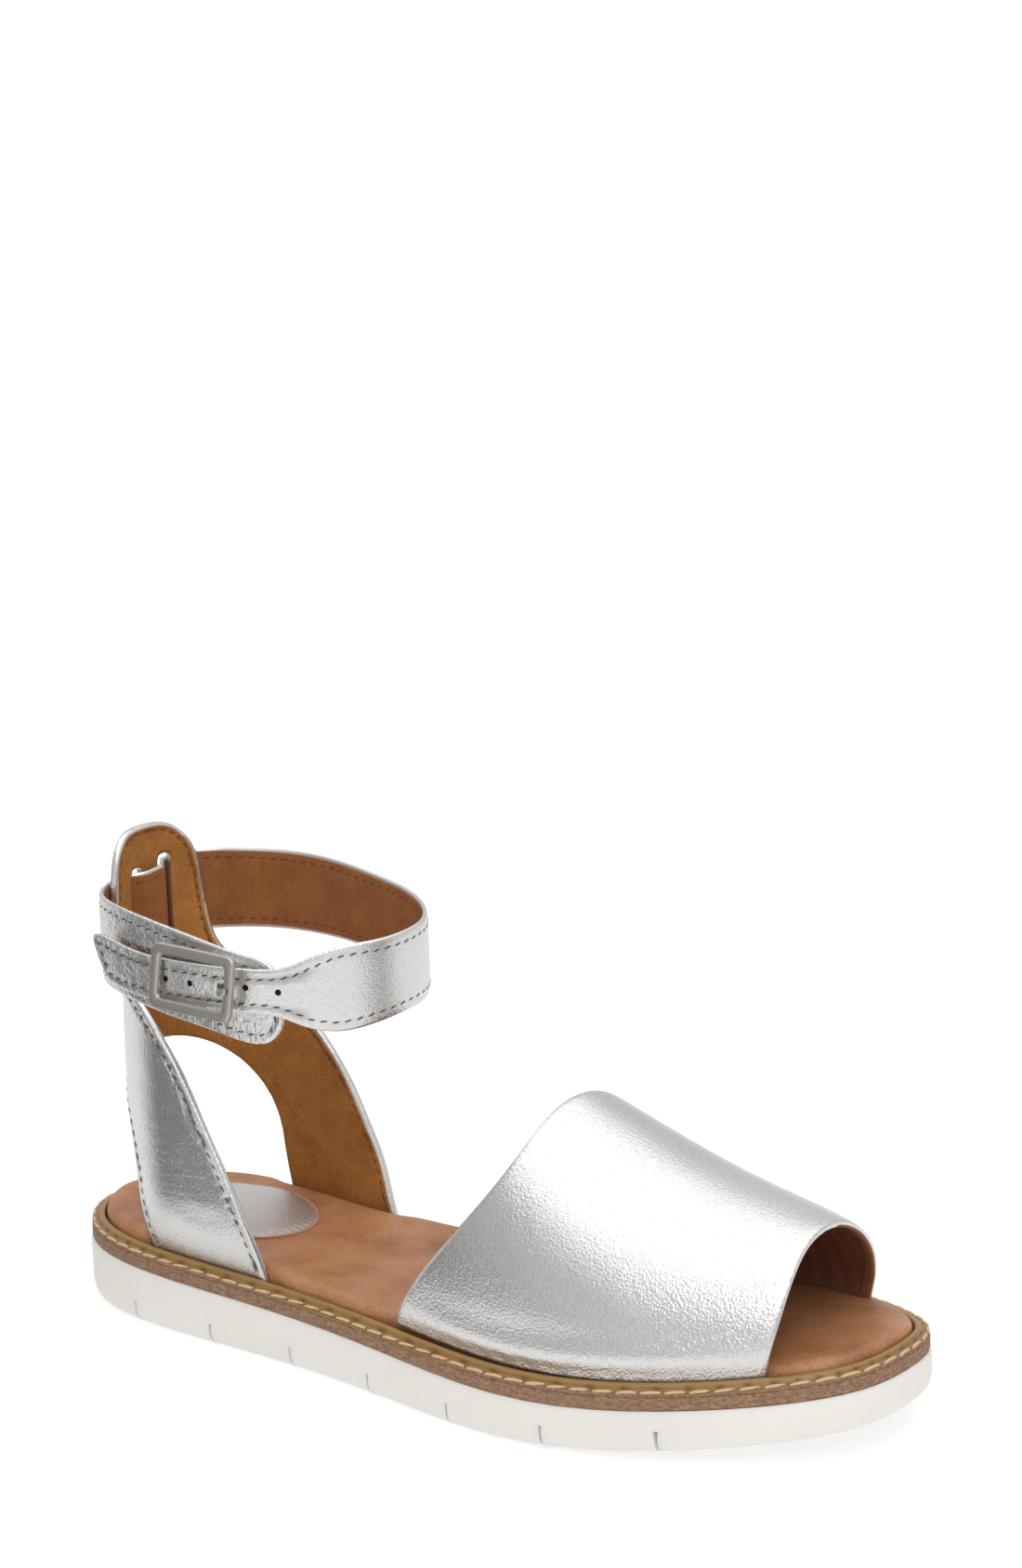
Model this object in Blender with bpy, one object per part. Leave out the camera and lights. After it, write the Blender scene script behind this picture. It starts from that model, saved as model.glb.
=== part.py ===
"""Ankle strap sandal, right foot: platform sole, welt, footbed, open toe band, heel quarter, ankle strap.

Every size below is in millimetres, and MM turns it to Blender's metres when a mesh is made.
+X is the toe, +Y the inner (medial) side, +Z up. The sole stands on z = 0.
"""

import math

import bpy
import numpy as np
from mathutils import Vector
from mathutils.geometry import delaunay_2d_cdt

for item in list(bpy.data.objects):
    bpy.data.objects.remove(item, do_unlink=True)

MM = 0.001

# Driving dimensions
GAP = 0.3               # between pieces that touch
HEEL_DECK = 16.6        # top of the outsole at the back of the heel
DECK_FALL = 7.2         # how much lower that top would be at the toe without the spring
TOE_SPRING_TOP = 10.2   # rise of the deck over the toe
TOE_SPRING_GROUND = 9.6  # rise of the tread over the toe
SPRING_START = 30.0     # x where both begin to rise
SOLE_HALF = 128.0       # half of the sole's length
MIDSOLE = 3.0
WELT = 1.3
WELT_WIDTH = 4.0
BEAD = 1.3              # height of the bead above the welt
FOOTBED = 5.0
UPPER_WALL = 2.0        # toe band, leather and lining
QUARTER_WALL = 1.8      # heel quarter, leather and suede
STRAP_WALL = 1.8        # ankle strap, leather and lining
GROOVE_WIDTH = 1.2      # the cuts across the tread
GROOVE_DEPTH = 5.8
GROOVE_STEP = 29.3
FIRST_GROOVE = -92.5
GROOVES = 7
GROOVE_REACH = 60.0     # half width of the cutter, past both sides of the sole
GROOVE_START = -5.0     # z of the cutter's underside
CENTRING = 0.75         # sideways shift that puts the sole's widest points level about the middle

# The sole's outline, counter-clockwise from the back of the heel: x, y
SOLE_OUTLINE = (
    (-129.4, 0.0), (-122.2, -16.8), (-105.4, -28.7), (-78.0, -34.3), (-43.0, -36.5), (-8.4, -41.0),
    (21.3, -46.6), (47.0, -48.5), (70.0, -45.3), (91.0, -38.0), (110.8, -28.4), (125.8, -15.2),
    (129.4, 2.0), (126.1, 18.0), (113.6, 30.6), (94.6, 41.2), (67.0, 46.6), (42.0, 45.9),
    (12.0, 39.5), (-17.5, 31.0), (-53.0, 30.7), (-83.0, 33.6), (-108.6, 29.2), (-124.0, 15.6),
)


# Curves and outlines
def closed_spline(points, per_span):
    """A smooth closed curve through the points, as a cubic spline with even knots."""
    p = np.array(points, float)
    n = len(p)
    system = 4 * np.eye(n) + np.eye(n, k=1) + np.eye(n, k=-1)
    system[0, -1] = system[-1, 0] = 1
    bend = np.linalg.solve(system, 6 * (np.roll(p, -1, 0) - 2 * p + np.roll(p, 1, 0)))
    following, bend_following = np.roll(p, -1, 0), np.roll(bend, -1, 0)
    rows = []
    for i in range(n):
        for t in np.linspace(0, 1, per_span, endpoint=False):
            s = 1 - t
            rows.append(
                s * p[i] + t * following[i]
                + ((s**3 - s) * bend[i] + (t**3 - t) * bend_following[i]) / 6
            )
    return np.array(rows)


def open_spline(points, step):
    """A smooth open curve through the rows, sampled about every step. Its first two columns set the pace."""
    p = np.array(points, float)
    pace = np.concatenate([[0], np.cumsum(np.hypot(*np.diff(p[:, :2], axis=0).T))])
    n = len(p)
    h = np.diff(pace)
    system, right = np.eye(n), np.zeros_like(p)
    for i in range(1, n - 1):
        system[i, i - 1:i + 2] = h[i - 1], 2 * (h[i - 1] + h[i]), h[i]
        right[i] = 6 * ((p[i + 1] - p[i]) / h[i] - (p[i] - p[i - 1]) / h[i - 1])
    bend = np.linalg.solve(system, right)
    rows = []
    for i in range(n - 1):
        count = max(1, round(h[i] / step))
        for t in np.linspace(0, 1, count, endpoint=False):
            s = 1 - t
            rows.append(
                s * p[i] + t * p[i + 1] + ((s**3 - s) * bend[i] + (t**3 - t) * bend[i + 1]) * h[i] ** 2 / 6
            )
    return np.array(rows + [p[-1]])


def ease(value, start, end):
    """0 before start, 1 after end, smooth between."""
    t = np.clip((value - start) / (end - start), 0, 1)
    return t * t * (3 - 2 * t)


OUTLINE = closed_spline(SOLE_OUTLINE, 20)
AHEAD = np.roll(OUTLINE, -1, 0) - np.roll(OUTLINE, 1, 0)
INWARD = np.column_stack([-AHEAD[:, 1], AHEAD[:, 0]]) / np.hypot(*AHEAD.T)[:, None]


def sides(inset):
    """The lateral and medial lines of the outline drawn in by inset, each with x rising."""
    line = OUTLINE + INWARD * np.reshape(inset, (-1, 1))
    heel, toe = line[:, 0].argmin(), line[:, 0].argmax()
    line, toe = np.roll(line, -heel, 0), (toe - heel) % len(line)
    lateral = line[:toe + 1]
    medial = np.vstack([line[toe:], line[:1]])[::-1]
    return lateral, medial


def side_y(x, inset, medial):
    line = sides(inset)[1 if medial else 0]
    return np.interp(x, line[:, 0], line[:, 1])


def ring(inset, stations):
    """The outline drawn in by inset: heel point, lateral side, toe point, medial side, at matching x."""
    lateral, medial = sides(inset)
    x0, x1 = lateral[0, 0], lateral[-1, 0]
    x = x0 + (x1 - x0) * (1 - np.cos(np.pi * np.arange(stations + 1) / stations)) / 2
    near = np.column_stack([x, np.interp(x, lateral[:, 0], lateral[:, 1])])
    far = np.column_stack([x, np.interp(x, medial[:, 0], medial[:, 1])])
    return np.vstack([near, far[-2:0:-1]])


# Heights along the shoe
def spring(x):
    return np.clip((x - SPRING_START) / (SOLE_HALF - SPRING_START), 0, 1.02) ** 2


def deck(x):
    """Top of the outsole."""
    return HEEL_DECK - DECK_FALL * (x + SOLE_HALF) / (2 * SOLE_HALF) + TOE_SPRING_TOP * spring(x)


def ground(x):
    """The tread: flat from heel to ball, then rising."""
    return TOE_SPRING_GROUND * spring(x)


# Objects
def material(name, colour, roughness, metallic=0.0):
    made = bpy.data.materials.new(name)
    made.use_nodes = True
    shader = made.node_tree.nodes["Principled BSDF"]
    shader.inputs["Base Color"].default_value = (*colour, 1.0)
    shader.inputs["Roughness"].default_value = roughness
    shader.inputs["Metallic"].default_value = metallic
    return made


def add_object(name, points, faces, finish, smooth_below=40.0):
    mesh = bpy.data.meshes.new(name)
    placed = (np.array(points, float) + (0, CENTRING, 0)) * MM
    mesh.from_pydata(placed.tolist(), [], [list(map(int, face)) for face in faces])
    mesh.validate()
    mesh.materials.append(finish)
    mesh.shade_smooth()
    mesh.set_sharp_from_angle(angle=math.radians(smooth_below))
    thing = bpy.data.objects.new(name, mesh)
    bpy.context.scene.collection.objects.link(thing)
    return thing


def cut(target, cutter):
    """Take the cutter out of the target, and hide the cutter."""
    cutter.hide_render = True
    cutter.display_type = "WIRE"
    modifier = target.modifiers.new(cutter.name, "BOOLEAN")
    modifier.operation = "DIFFERENCE"
    modifier.object = cutter


def box_faces(start):
    quads = ((0, 3, 2, 1), (4, 5, 6, 7), (0, 1, 5, 4), (1, 2, 6, 5), (2, 3, 7, 6), (3, 0, 4, 7))
    return [[start + i for i in quad] for quad in quads]


def box_points(low, high):
    (x0, y0, z0), (x1, y1, z1) = low, high
    return [(x, y, z) for z in (z0, z1) for x, y in ((x0, y0), (x1, y0), (x1, y1), (x0, y1))]


def ladder(first, stations, upward):
    """Faces that fill one ring from side to side, between points at the same x."""
    total = 2 * stations
    faces = []
    for k in range(stations):
        loop = [k, k + 1, (total - k - 1) % total, (total - k) % total]
        loop = [first + i for n, i in enumerate(loop) if i not in loop[:n]]
        faces.append(loop if upward else loop[::-1])
    return faces


def stacked(name, rings, finish, stations, closed_ring=False):
    """A solid from rings stacked bottom to top and filled at both ends, or a closed tube round a hole."""
    total = 2 * stations
    points = np.vstack(rings)
    faces = []
    count = len(rings)
    for r in range(count if closed_ring else count - 1):
        low, high = r * total, ((r + 1) % count) * total
        for i in range(total):
            j = (i + 1) % total
            faces.append((low + i, low + j, high + j, high + i))
    if not closed_ring:
        faces += ladder(0, stations, False)
        faces += ladder((count - 1) * total, stations, True)
    return add_object(name, points, faces, finish)


def level(inset, stations, height):
    """One ring at the height that a function of x gives."""
    xy = ring(inset, stations)
    return np.column_stack([xy, height(xy[:, 0])])


# Outsole: white moulded wall, rounded at the tread, with cuts across it
STATIONS = 40
FOXING = (
    # inset, share of the wall's height, millimetres added
    (4.0, 0.0, 0.0),
    (2.2, 0.0, 0.15),
    (1.1, 0.0, 0.7),
    (0.4, 0.0, 1.9),
    (0.0, 0.0, 3.8),
    (0.0, 1.0, -1.0),
    (0.5, 1.0, -GAP / 2),
)


def make_outsole():
    white = material("outsole white rubber", (0.84, 0.82, 0.78), 0.5)
    rings = []
    for inset, share, added in FOXING:
        rings.append(level(inset, STATIONS, lambda x: ground(x) + share * (deck(x) - ground(x)) + added))
    sole = stacked("outsole", rings, white, STATIONS)
    points, faces = [], []
    for k in range(GROOVES):
        x = FIRST_GROOVE + k * GROOVE_STEP
        faces += box_faces(len(points))
        top = float(ground(x)) + GROOVE_DEPTH
        low = (x - GROOVE_WIDTH / 2, -GROOVE_REACH, GROOVE_START)
        points += box_points(low, (x + GROOVE_WIDTH / 2, GROOVE_REACH, top))
    cut(sole, add_object("groove cutter", points, faces, white))


# Midsole: brown layer between outsole and welt
def make_midsole():
    brown = material("midsole brown board", (0.25, 0.15, 0.10), 0.8)
    low = GAP / 2
    profile = ((0.9, low), (0.4, low + 0.4), (0.4, low + MIDSOLE - 0.3), (0.7, low + MIDSOLE))
    rings = [level(inset, STATIONS, lambda x: deck(x) + rise) for inset, rise in profile]
    stacked("midsole", rings, brown, STATIONS)


# Welt: stitched strip round the edge, with a rounded bead along its inner side
WELT_BASE = GAP / 2 + MIDSOLE + GAP
WELT_RIM = 0.3          # how far its outer edge lies inside the sole's outline
WELT_PROFILE = (
    # inset, height above the welt's underside
    (0.5, 0.0), (WELT_RIM, 0.4), (0.5, WELT), (2.0, WELT), (2.3, WELT + BEAD * 0.6), (2.9, WELT + BEAD),
    (3.8, WELT + BEAD), (WELT_RIM + WELT_WIDTH - 0.2, WELT + BEAD * 0.6), (WELT_RIM + WELT_WIDTH, 0.0),
)


def make_welt():
    tan = material("welt waxed tan leather", (0.33, 0.20, 0.06), 0.45)
    rings = [level(inset, STATIONS, lambda x: deck(x) + WELT_BASE + rise) for inset, rise in WELT_PROFILE]
    stacked("welt", rings, tan, STATIONS, closed_ring=True)


# Where the upper goes down between welt and footbed: x range of each foot of it, per side
UPPER_INSET = WELT_RIM + WELT_WIDTH + GAP
BAND_FEET = {"lateral": (0.0, 107.5), "medial": (4.5, 103.0)}
LEG_FEET = {"lateral": (-89.5, -44.3), "medial": (-87.0, -43.3)}
TUCK_EASE = 4.0
FOOT_ROOM = 1.0         # the footbed keeps this far from a foot's two ends


def footbed_inset(extra):
    """The footbed's distance from the outline: close to the welt, and further in where the upper passes."""
    x, y = OUTLINE.T
    inset = np.full(len(OUTLINE), UPPER_INSET)
    for feet, wall in ((BAND_FEET, UPPER_WALL), (LEG_FEET, QUARTER_WALL)):
        for side, (start, end) in feet.items():
            here = (y > 0) == (side == "medial")
            near, far = start - FOOT_ROOM, end + FOOT_ROOM
            room = ease(x, near - TUCK_EASE, near) - ease(x, far, far + TUCK_EASE)
            inset = inset + np.where(here, room * (wall + GAP), 0)
    return inset + extra


def footbed_edge():
    return OUTLINE + INWARD * footbed_inset(0.0)[:, None]


FOOTBED_STATIONS = 60
FOOTBED_PROFILE = (
    # distance in from its edge, height above its underside, height that the heel cup adds
    (0.6, 0.0, 0.0), (0.0, 0.8, 0.0), (0.0, 2.6, 0.4), (0.7, 4.0, 0.8), (2.2, 4.8, 0.9), (4.5, FOOTBED, 0.4),
    (9.0, FOOTBED - 0.1, -0.5), (15.0, FOOTBED - 0.2, -1.2),
)
CUP_END = (-35.0, 15.0)  # x where the heel cup begins to fade, and where it has gone
FOOTBED_BASE = WELT_BASE


def footbed_height(x, rise, cupped):
    """A height on the footbed: rise above its underside, and the heel cup's share of cupped."""
    return deck(x) + FOOTBED_BASE + rise + cupped * (1 - ease(x, *CUP_END))


def footbed_top(x, y):
    """The footbed's upper face at points inside it."""
    edge = footbed_edge()
    inward = np.array([np.hypot(*(edge - point).T).min() for point in zip(x, y)])
    upper = np.array(FOOTBED_PROFILE[4:])
    return footbed_height(x, *(np.interp(inward, upper[:, 0], column) for column in upper[:, 1:].T))


def make_footbed():
    suede = material("footbed tan leather", (0.38, 0.18, 0.09), 0.6)
    rings = []
    for inset, rise, cupped in FOOTBED_PROFILE:
        rings.append(level(footbed_inset(inset), FOOTBED_STATIONS, lambda x: footbed_height(x, rise, cupped)))
    stacked("footbed", rings, suede, FOOTBED_STATIONS)


# Heel sock: thin silver oval laid on the footbed's heel
SOCK_MIDDLE = (-86.0, 1.2)
SOCK_HALF_LENGTH = 27.8
SOCK_HALF_WIDTH = 19.8
SOCK_THICKNESS = 0.5
SOCK_LIFT = 0.1         # more, because the footbed's facets are coarser than the sock's
SOCK_STATIONS = 20
SOCK_RINGS = (0.35, 0.7, 1.0)  # shares of its size where its height follows the cup


def make_heel_sock():
    silver = material("heel sock silver leather", (0.72, 0.71, 0.70), 0.3, 0.9)
    k = np.arange(2 * SOCK_STATIONS)
    angle = np.pi + np.pi * k / SOCK_STATIONS
    sizes = [(size, 0.0) for size in SOCK_RINGS] + [(size, SOCK_THICKNESS) for size in SOCK_RINGS[::-1]]
    rings = []
    for size, rise in sizes:
        x = SOCK_MIDDLE[0] + SOCK_HALF_LENGTH * size * np.cos(angle)
        y = SOCK_MIDDLE[1] + SOCK_HALF_WIDTH * size * np.sin(angle)
        rings.append(np.column_stack([x, y, footbed_top(x, y) + GAP + SOCK_LIFT + rise]))
    stacked("heel_sock", rings, silver, SOCK_STATIONS)


# Leather sheets bent over the last
def sheet_solid(name, flat, triangles, place, wall, finish):
    """A closed wall from a flat pattern. place(a, b) gives the outer face's points and outward normals."""
    outer, normal = place(flat[:, 0], flat[:, 1])
    inner = outer - normal * wall
    count = len(flat)
    points = np.vstack([outer, inner])
    faces = [tuple(t) for t in triangles] + [tuple(i + count for i in t[::-1]) for t in triangles]
    edges = {}
    for t in triangles:
        for i in range(len(t)):
            edges[(t[i], t[(i + 1) % len(t)])] = True
    for a, b in edges:
        if (b, a) not in edges:
            faces.append((b, a, a + count, b + count))
    return add_object(name, points, faces, finish)


def outward(function, a, b, step=0.05):
    """The normal of a surface given by function(a, b), from its slopes."""
    along = function(a + step, b) - function(a - step, b)
    across = function(a, b + step) - function(a, b - step)
    normal = np.cross(along, across)
    return normal / np.linalg.norm(normal, axis=1)[:, None]


# Toe band: a wide open vamp over the ball of the foot
RIDGE_HEIGHT = 76.2     # top of the band at its rear edge
RIDGE_SLOPE = 0.334     # fall of the instep line towards the toe
RIDGE_SAG = 3.6         # how far the instep line dips below a straight one, halfway
SECTION_POWER = 2.05    # 2 is an ellipse, higher is squarer at the shoulders
RIDGE_OFFSET = -1.0     # how far the ridge lies to the medial side of the middle
BAND_BULGE = 1.2        # how far the band swells out above the welt
BULGE_RISE = (2.5, 10.0)  # heights above the band's foot where the swell begins and is full
EDGE_SWEEP = 1.36       # how the front and rear edges gain on their feet: 1 evenly, higher later
BAND_REAR = {"lateral": 1.3, "medial": 6.0, "top": 36.0}
BAND_FRONT = {"lateral": 105.4, "medial": 99.4, "top": 107.2}
FRONT_BOW = 1.2         # how far the front edge stands further forward at half height
BAND_FOOT = WELT_BASE + 0.2
BAND_TUCK = 0.012       # share of the section left out at each foot, where it turns level
BAND_ROWS = 14
BAND_COLUMNS = 34
CROWDING = 0.04         # 0 crowds the columns hard towards the feet, higher evens them out


def band_surface(u, v):
    """u runs 0 to 1 from the rear edge to the front, v 0 to 1 from the lateral foot to the medial one."""
    angle = np.pi * v
    sine, cosine = np.clip(np.sin(angle), 0, 1), np.cos(angle)
    rise = sine ** (2 / SECTION_POWER)
    lift = np.sin(np.pi / 2 * rise) ** EDGE_SWEEP
    edges = []
    for edge in (BAND_REAR, BAND_FRONT):
        foot = np.where(v < 0.5, edge["lateral"], edge["medial"])
        edges.append(foot + (edge["top"] - foot) * lift)
    edges[1] = edges[1] + FRONT_BOW * np.sin(np.pi * rise)
    x = edges[0] + (edges[1] - edges[0]) * u
    lateral = side_y(x, UPPER_INSET, False)
    medial = side_y(x, UPPER_INSET, True)
    middle, half = (lateral + medial) / 2, (medial - lateral) / 2
    low = deck(x) + BAND_FOOT
    start, end = BAND_REAR["top"], BAND_FRONT["top"]
    dip = np.sin(np.pi * np.clip((x - start) / (end - start), 0, 1))
    ridge = RIDGE_HEIGHT - RIDGE_SLOPE * (x - start) - RIDGE_SAG * dip
    bulge = BAND_BULGE * ease((ridge - low) * rise, *BULGE_RISE) * (1 - rise)
    sideways = np.sign(cosine) * np.abs(cosine) ** (2 / SECTION_POWER)
    y = middle - (half + bulge) * sideways + RIDGE_OFFSET * rise**2
    return np.column_stack([x, y, low + (ridge - low) * rise])


def make_toe_band():
    silver = material("toe band silver leather", (0.74, 0.74, 0.74), 0.3, 0.9)
    u = np.linspace(0, 1, BAND_ROWS + 1)
    # the columns crowd towards the feet, where the section turns down
    v = 0.5 - 0.5 * np.cos(np.pi * np.linspace(CROWDING, 1 - CROWDING, BAND_COLUMNS + 1))
    v = (v - v[0]) / (v[-1] - v[0])
    v = BAND_TUCK + (1 - 2 * BAND_TUCK) * v
    grid_u, grid_v = np.meshgrid(u, v, indexing="ij")
    flat = np.column_stack([grid_u.ravel(), grid_v.ravel()])
    width = BAND_COLUMNS + 1
    quads = []
    for r in range(BAND_ROWS):
        for c in range(BAND_COLUMNS):
            i = r * width + c
            quads.append((i, i + width, i + width + 1, i + 1))

    def place(a, b):
        return band_surface(a, b), outward(band_surface, a, b, 0.002)

    sheet_solid("toe_band", flat, quads, place, UPPER_WALL, silver)


# Heel quarter: two legs that meet behind the heel in a slotted tab
QUARTER_MIDDLE = -2.0   # y of its middle line
HEEL_ROUND = 31.0       # depth of the round of the heel, and its turning radius
LATERAL_HALF = 31.0     # from the middle line to the outer face of the lateral leg
MEDIAL_HALF = 29.5
HEEL_BACK = (
    # z, x of the back line
    (15.0, -107.0), (45.0, -107.6), (62.0, -108.3), (80.0, -108.2), (95.0, -107.4), (115.0, -107.6),
    (133.0, -106.8),
)
TAB_FLATTER = 0.42      # how much shallower the round is at the tab
TAB_BLEND = (88.0, 110.0)  # z where the round begins to flatten and is flat enough
FOOT_BLEND = (20.0, 38.0)  # z where the legs leave the sole's outline, and where they follow the heel's round
LEG_START = 20.0        # distance round the heel where the legs begin
ARCH_SPRING = 37.0      # z where the arch over the heel begins to close
ARCH_RISE = 33.5
LATERAL_ARCH = 31.8     # half width of the arch, measured round the heel
MEDIAL_ARCH = 39.2
ARCH_FOOT = (
    # z, widening towards the footbed on the lateral side, on the medial side
    (19.0, 5.2, 0.6), (22.5, 3.2, 0.4), (27.0, 1.4, 0.2), (32.0, 0.4, 0.1),
)
QUARTER_FOOT = WELT_BASE + 0.2
FRONT_EDGE = (
    # z, distance round the heel on the lateral side, on the medial side
    (19.0, 79.2, 80.0), (25.5, 76.9, 77.4), (34.0, 73.9, 74.7), (42.5, 70.1, 71.2), (55.0, 64.3, 65.6),
    (66.0, 58.7, 58.3), (74.0, 54.2, 50.4), (81.0, 49.2, 41.4), (87.0, 43.6, 31.4), (91.5, 37.5, 25.4),
    (95.5, 30.5, 22.4), (99.5, 23.8, 21.4), (104.0, 20.6, 21.0), (110.0, 20.0, 20.4), (117.0, 19.9, 19.4),
    (122.5, 19.4, 17.4), (127.2, 17.4, 13.6), (130.4, 13.0, 9.0), (132.0, 6.5, 3.5),
)
BRIDGE_MIDDLE = -0.8    # the slots and the bridge between them sit a little to the lateral side
SLOT_INNER = 3.4        # from the bridge's middle
SLOT_OUTER = 8.8
SLOT_CORNER = 1.0
SLOT_LOW = 94.0
SLOT_HIGH = {"lateral": 120.6, "medial": 122.6}
QUARTER_STEP = 5.0


def heel_surface(s, z):
    """s is the distance round the heel from the back line, positive on the medial side."""
    back = np.interp(z, *np.array(HEEL_BACK).T)
    depth = HEEL_ROUND * (1 - TAB_FLATTER * ease(z, *TAB_BLEND))
    quarter_turn = HEEL_ROUND * np.pi / 2
    reach = np.abs(s)
    angle = np.minimum(reach, quarter_turn) / HEEL_ROUND
    x = back + depth * (1 - np.cos(angle)) + np.maximum(reach - quarter_turn, 0)
    half = np.where(s < 0, LATERAL_HALF, MEDIAL_HALF)
    y = QUARTER_MIDDLE + half * np.sin(angle) * np.sign(s)
    foot = np.where(s < 0, side_y(x, UPPER_INSET, False), side_y(x, UPPER_INSET, True))
    blend = ease(z, *FOOT_BLEND)
    y = np.where(reach > LEG_START, foot + (y - foot) * blend, y)
    return np.column_stack([x, y, z])


def heel_outward(s, z):
    return -outward(heel_surface, s, z)


def heel_point(s, z, out):
    """A point off the quarter's outer face by out."""
    s, z = np.atleast_1d(np.asarray(s, float)), np.atleast_1d(np.asarray(z, float))
    return (heel_surface(s, z) + heel_outward(s, z) * out)[0]


def quarter_half(column, arch_half):
    """One side of the quarter's flat pattern, from the arch down to the foot and up the front edge.

    column is the side's own column in ARCH_FOOT and FRONT_EDGE.
    """
    rim = []
    for angle in np.linspace(np.pi / 2, 0, 12, endpoint=False)[1:]:
        rim.append((arch_half * np.cos(angle), ARCH_SPRING + ARCH_RISE * np.sin(angle)))
    rim += [(arch_half + row[column], row[0]) for row in ARCH_FOOT[:0:-1]]
    edge = open_spline([(row[column], row[0]) for row in FRONT_EDGE], 4.0)
    start, end = arch_half + ARCH_FOOT[0][column], edge[0, 0]
    foot = []
    for s in np.linspace(start, end, 5):
        x = heel_surface(np.array([s]), np.array([20.0]))[0, 0]
        foot.append((s, deck(x) + QUARTER_FOOT))
    return np.vstack([rim, foot, edge[1:]])


def quarter_outline():
    """The whole flat pattern, counter-clockwise seen from inside the heel, medial side positive."""
    medial = quarter_half(2, MEDIAL_ARCH)
    lateral = quarter_half(1, LATERAL_ARCH)[::-1] * (-1, 1)
    return np.vstack([[(0.0, ARCH_SPRING + ARCH_RISE)], medial, lateral])


def slot_outline(side):
    corner, low, high = SLOT_CORNER, SLOT_LOW, SLOT_HIGH[side]
    turned = -1 if side == "lateral" else 1
    a, b = sorted(BRIDGE_MIDDLE + turned * reach for reach in (SLOT_INNER, SLOT_OUTER))
    loop = [(a, low + corner), (a + corner, low), (b - corner, low), (b, low + corner)]
    rungs = np.linspace(low, high, 8)[1:-1]
    loop += [(b, z) for z in rungs]
    loop += [(b, high - corner), (b - corner, high), (a + corner, high), (a, high - corner)]
    loop += [(a, z) for z in rungs[::-1]]
    return np.array(loop)


def inside(points, loop):
    """Which points lie inside a closed loop."""
    x, y = points.T
    result = np.zeros(len(points), bool)
    for (x0, y0), (x1, y1) in zip(loop, np.roll(loop, -1, 0)):
        if y0 != y1:
            crossing = (y0 > y) != (y1 > y)
            result ^= crossing & (x < (x1 - x0) * (y - y0) / (y1 - y0) + x0)
    return result


def distance_to(points, loop):
    nearest = np.full(len(points), 1e9)
    for a, b in zip(loop, np.roll(loop, -1, 0)):
        run = b - a
        t = np.clip(((points - a) @ run) / (run @ run), 0, 1)
        nearest = np.minimum(nearest, np.linalg.norm(points - a - t[:, None] * run, axis=1))
    return nearest


def pattern_mesh(outer, holes, step):
    """Triangles that fill a flat pattern with holes, with points every step inside it."""
    low, high = outer.min(0), outer.max(0)
    xs = np.arange(low[0], high[0], step)
    ys = np.arange(low[1], high[1], step)
    grid = np.array([(x + (step / 2 if r % 2 else 0), y) for r, y in enumerate(ys) for x in xs])
    keep = inside(grid, outer) & (distance_to(grid, outer) > step * 0.5)
    for hole in holes:
        keep &= ~inside(grid, hole) & (distance_to(grid, hole) > step * 0.45)
    points, edges = [], []
    for loop in [outer] + holes:
        start, count = len(points), len(loop)
        points += [Vector(p) for p in loop]
        edges += [(start + i, start + (i + 1) % count) for i in range(count)]
    points += [Vector(p) for p in grid[keep]]
    verts, _, faces, *_ = delaunay_2d_cdt(points, edges, [], 0, 1e-5)
    verts = np.array(verts)
    middles = np.array([verts[list(face)].mean(0) for face in faces])
    used = inside(middles, outer)
    for hole in holes:
        used &= ~inside(middles, hole)
    triangles = [tuple(face) for face, use in zip(faces, used) if use]
    return verts, triangles


def make_heel_quarter():
    silver = material("quarter silver leather", (0.74, 0.74, 0.74), 0.32, 0.9)
    slots = [slot_outline("lateral"), slot_outline("medial")]
    flat, triangles = pattern_mesh(quarter_outline(), slots, QUARTER_STEP)

    def place(s, z):
        return heel_surface(s, z), heel_outward(s, z)

    # the pattern is drawn as seen from inside the heel, so its faces are turned over
    sheet_solid("heel_quarter", flat, [t[::-1] for t in triangles], place, QUARTER_WALL, silver)


# Ankle strap: buckle end on the lateral side, round the back through the tab, over the front, to the tongue
BUCKLE_END = (
    # x, y, z of the lower edge, z of the upper edge
    (-38.5, -27.6, 90.0, 101.0), (-40.5, -28.4, 86.0, 105.5), (-43.5, -29.4, 84.2, 107.2),
    (-57.0, -32.0, 86.3, 110.0), (-72.0, -32.8, 88.8, 113.2), (-87.0, -32.1, 91.4, 115.8),
    (-98.0, -28.9, 92.8, 117.0), (-105.4, -22.5, 94.0, 118.0),
)
FRONT_RUN = (
    # x, y, z of the lower edge, z of the upper edge
    (-96.0, 22.2, 98.4, 121.3), (-88.0, 26.2, 98.3, 121.1), (-75.0, 29.0, 97.8, 120.5),
    (-60.0, 28.8, 96.7, 118.9), (-48.0, 26.8, 95.3, 117.2), (-35.0, 22.3, 93.8, 115.8),
    (-23.6, 14.0, 92.8, 114.4), (-17.0, 4.5, 92.3, 113.6), (-15.6, -5.0, 91.6, 112.9),
    (-18.4, -14.0, 90.0, 112.0), (-25.5, -21.8, 88.2, 111.0), (-31.0, -26.0, 89.2, 108.4),
    (-35.0, -28.4, 91.4, 106.2), (-39.0, -30.6, 92.9, 105.4), (-46.0, -33.4, 93.3, 105.3),
    (-53.0, -35.2, 93.5, 105.4), (-64.0, -36.5, 93.8, 105.6), (-75.0, -36.8, 94.0, 106.0),
    (-84.0, -36.2, 94.6, 107.0), (-91.0, -35.0, 95.6, 108.3), (-94.5, -34.4, 98.0, 109.0),
    (-98.0, -33.8, 106.0, 108.6),
)
WEB_REACH = (-14, 20)   # where the strap meets and leaves the tab, measured round the heel
TAB_LOWER = (95.2, 97.8)  # z of the strap's lower edge at those two places
TAB_UPPER = (118.9, 121.2)
SLOT_TURN = (-0.6, 0.5)  # the strap's turn starts and ends this far off a slot's inner and outer edge
STRAP_CORNER = 0.5


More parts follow.
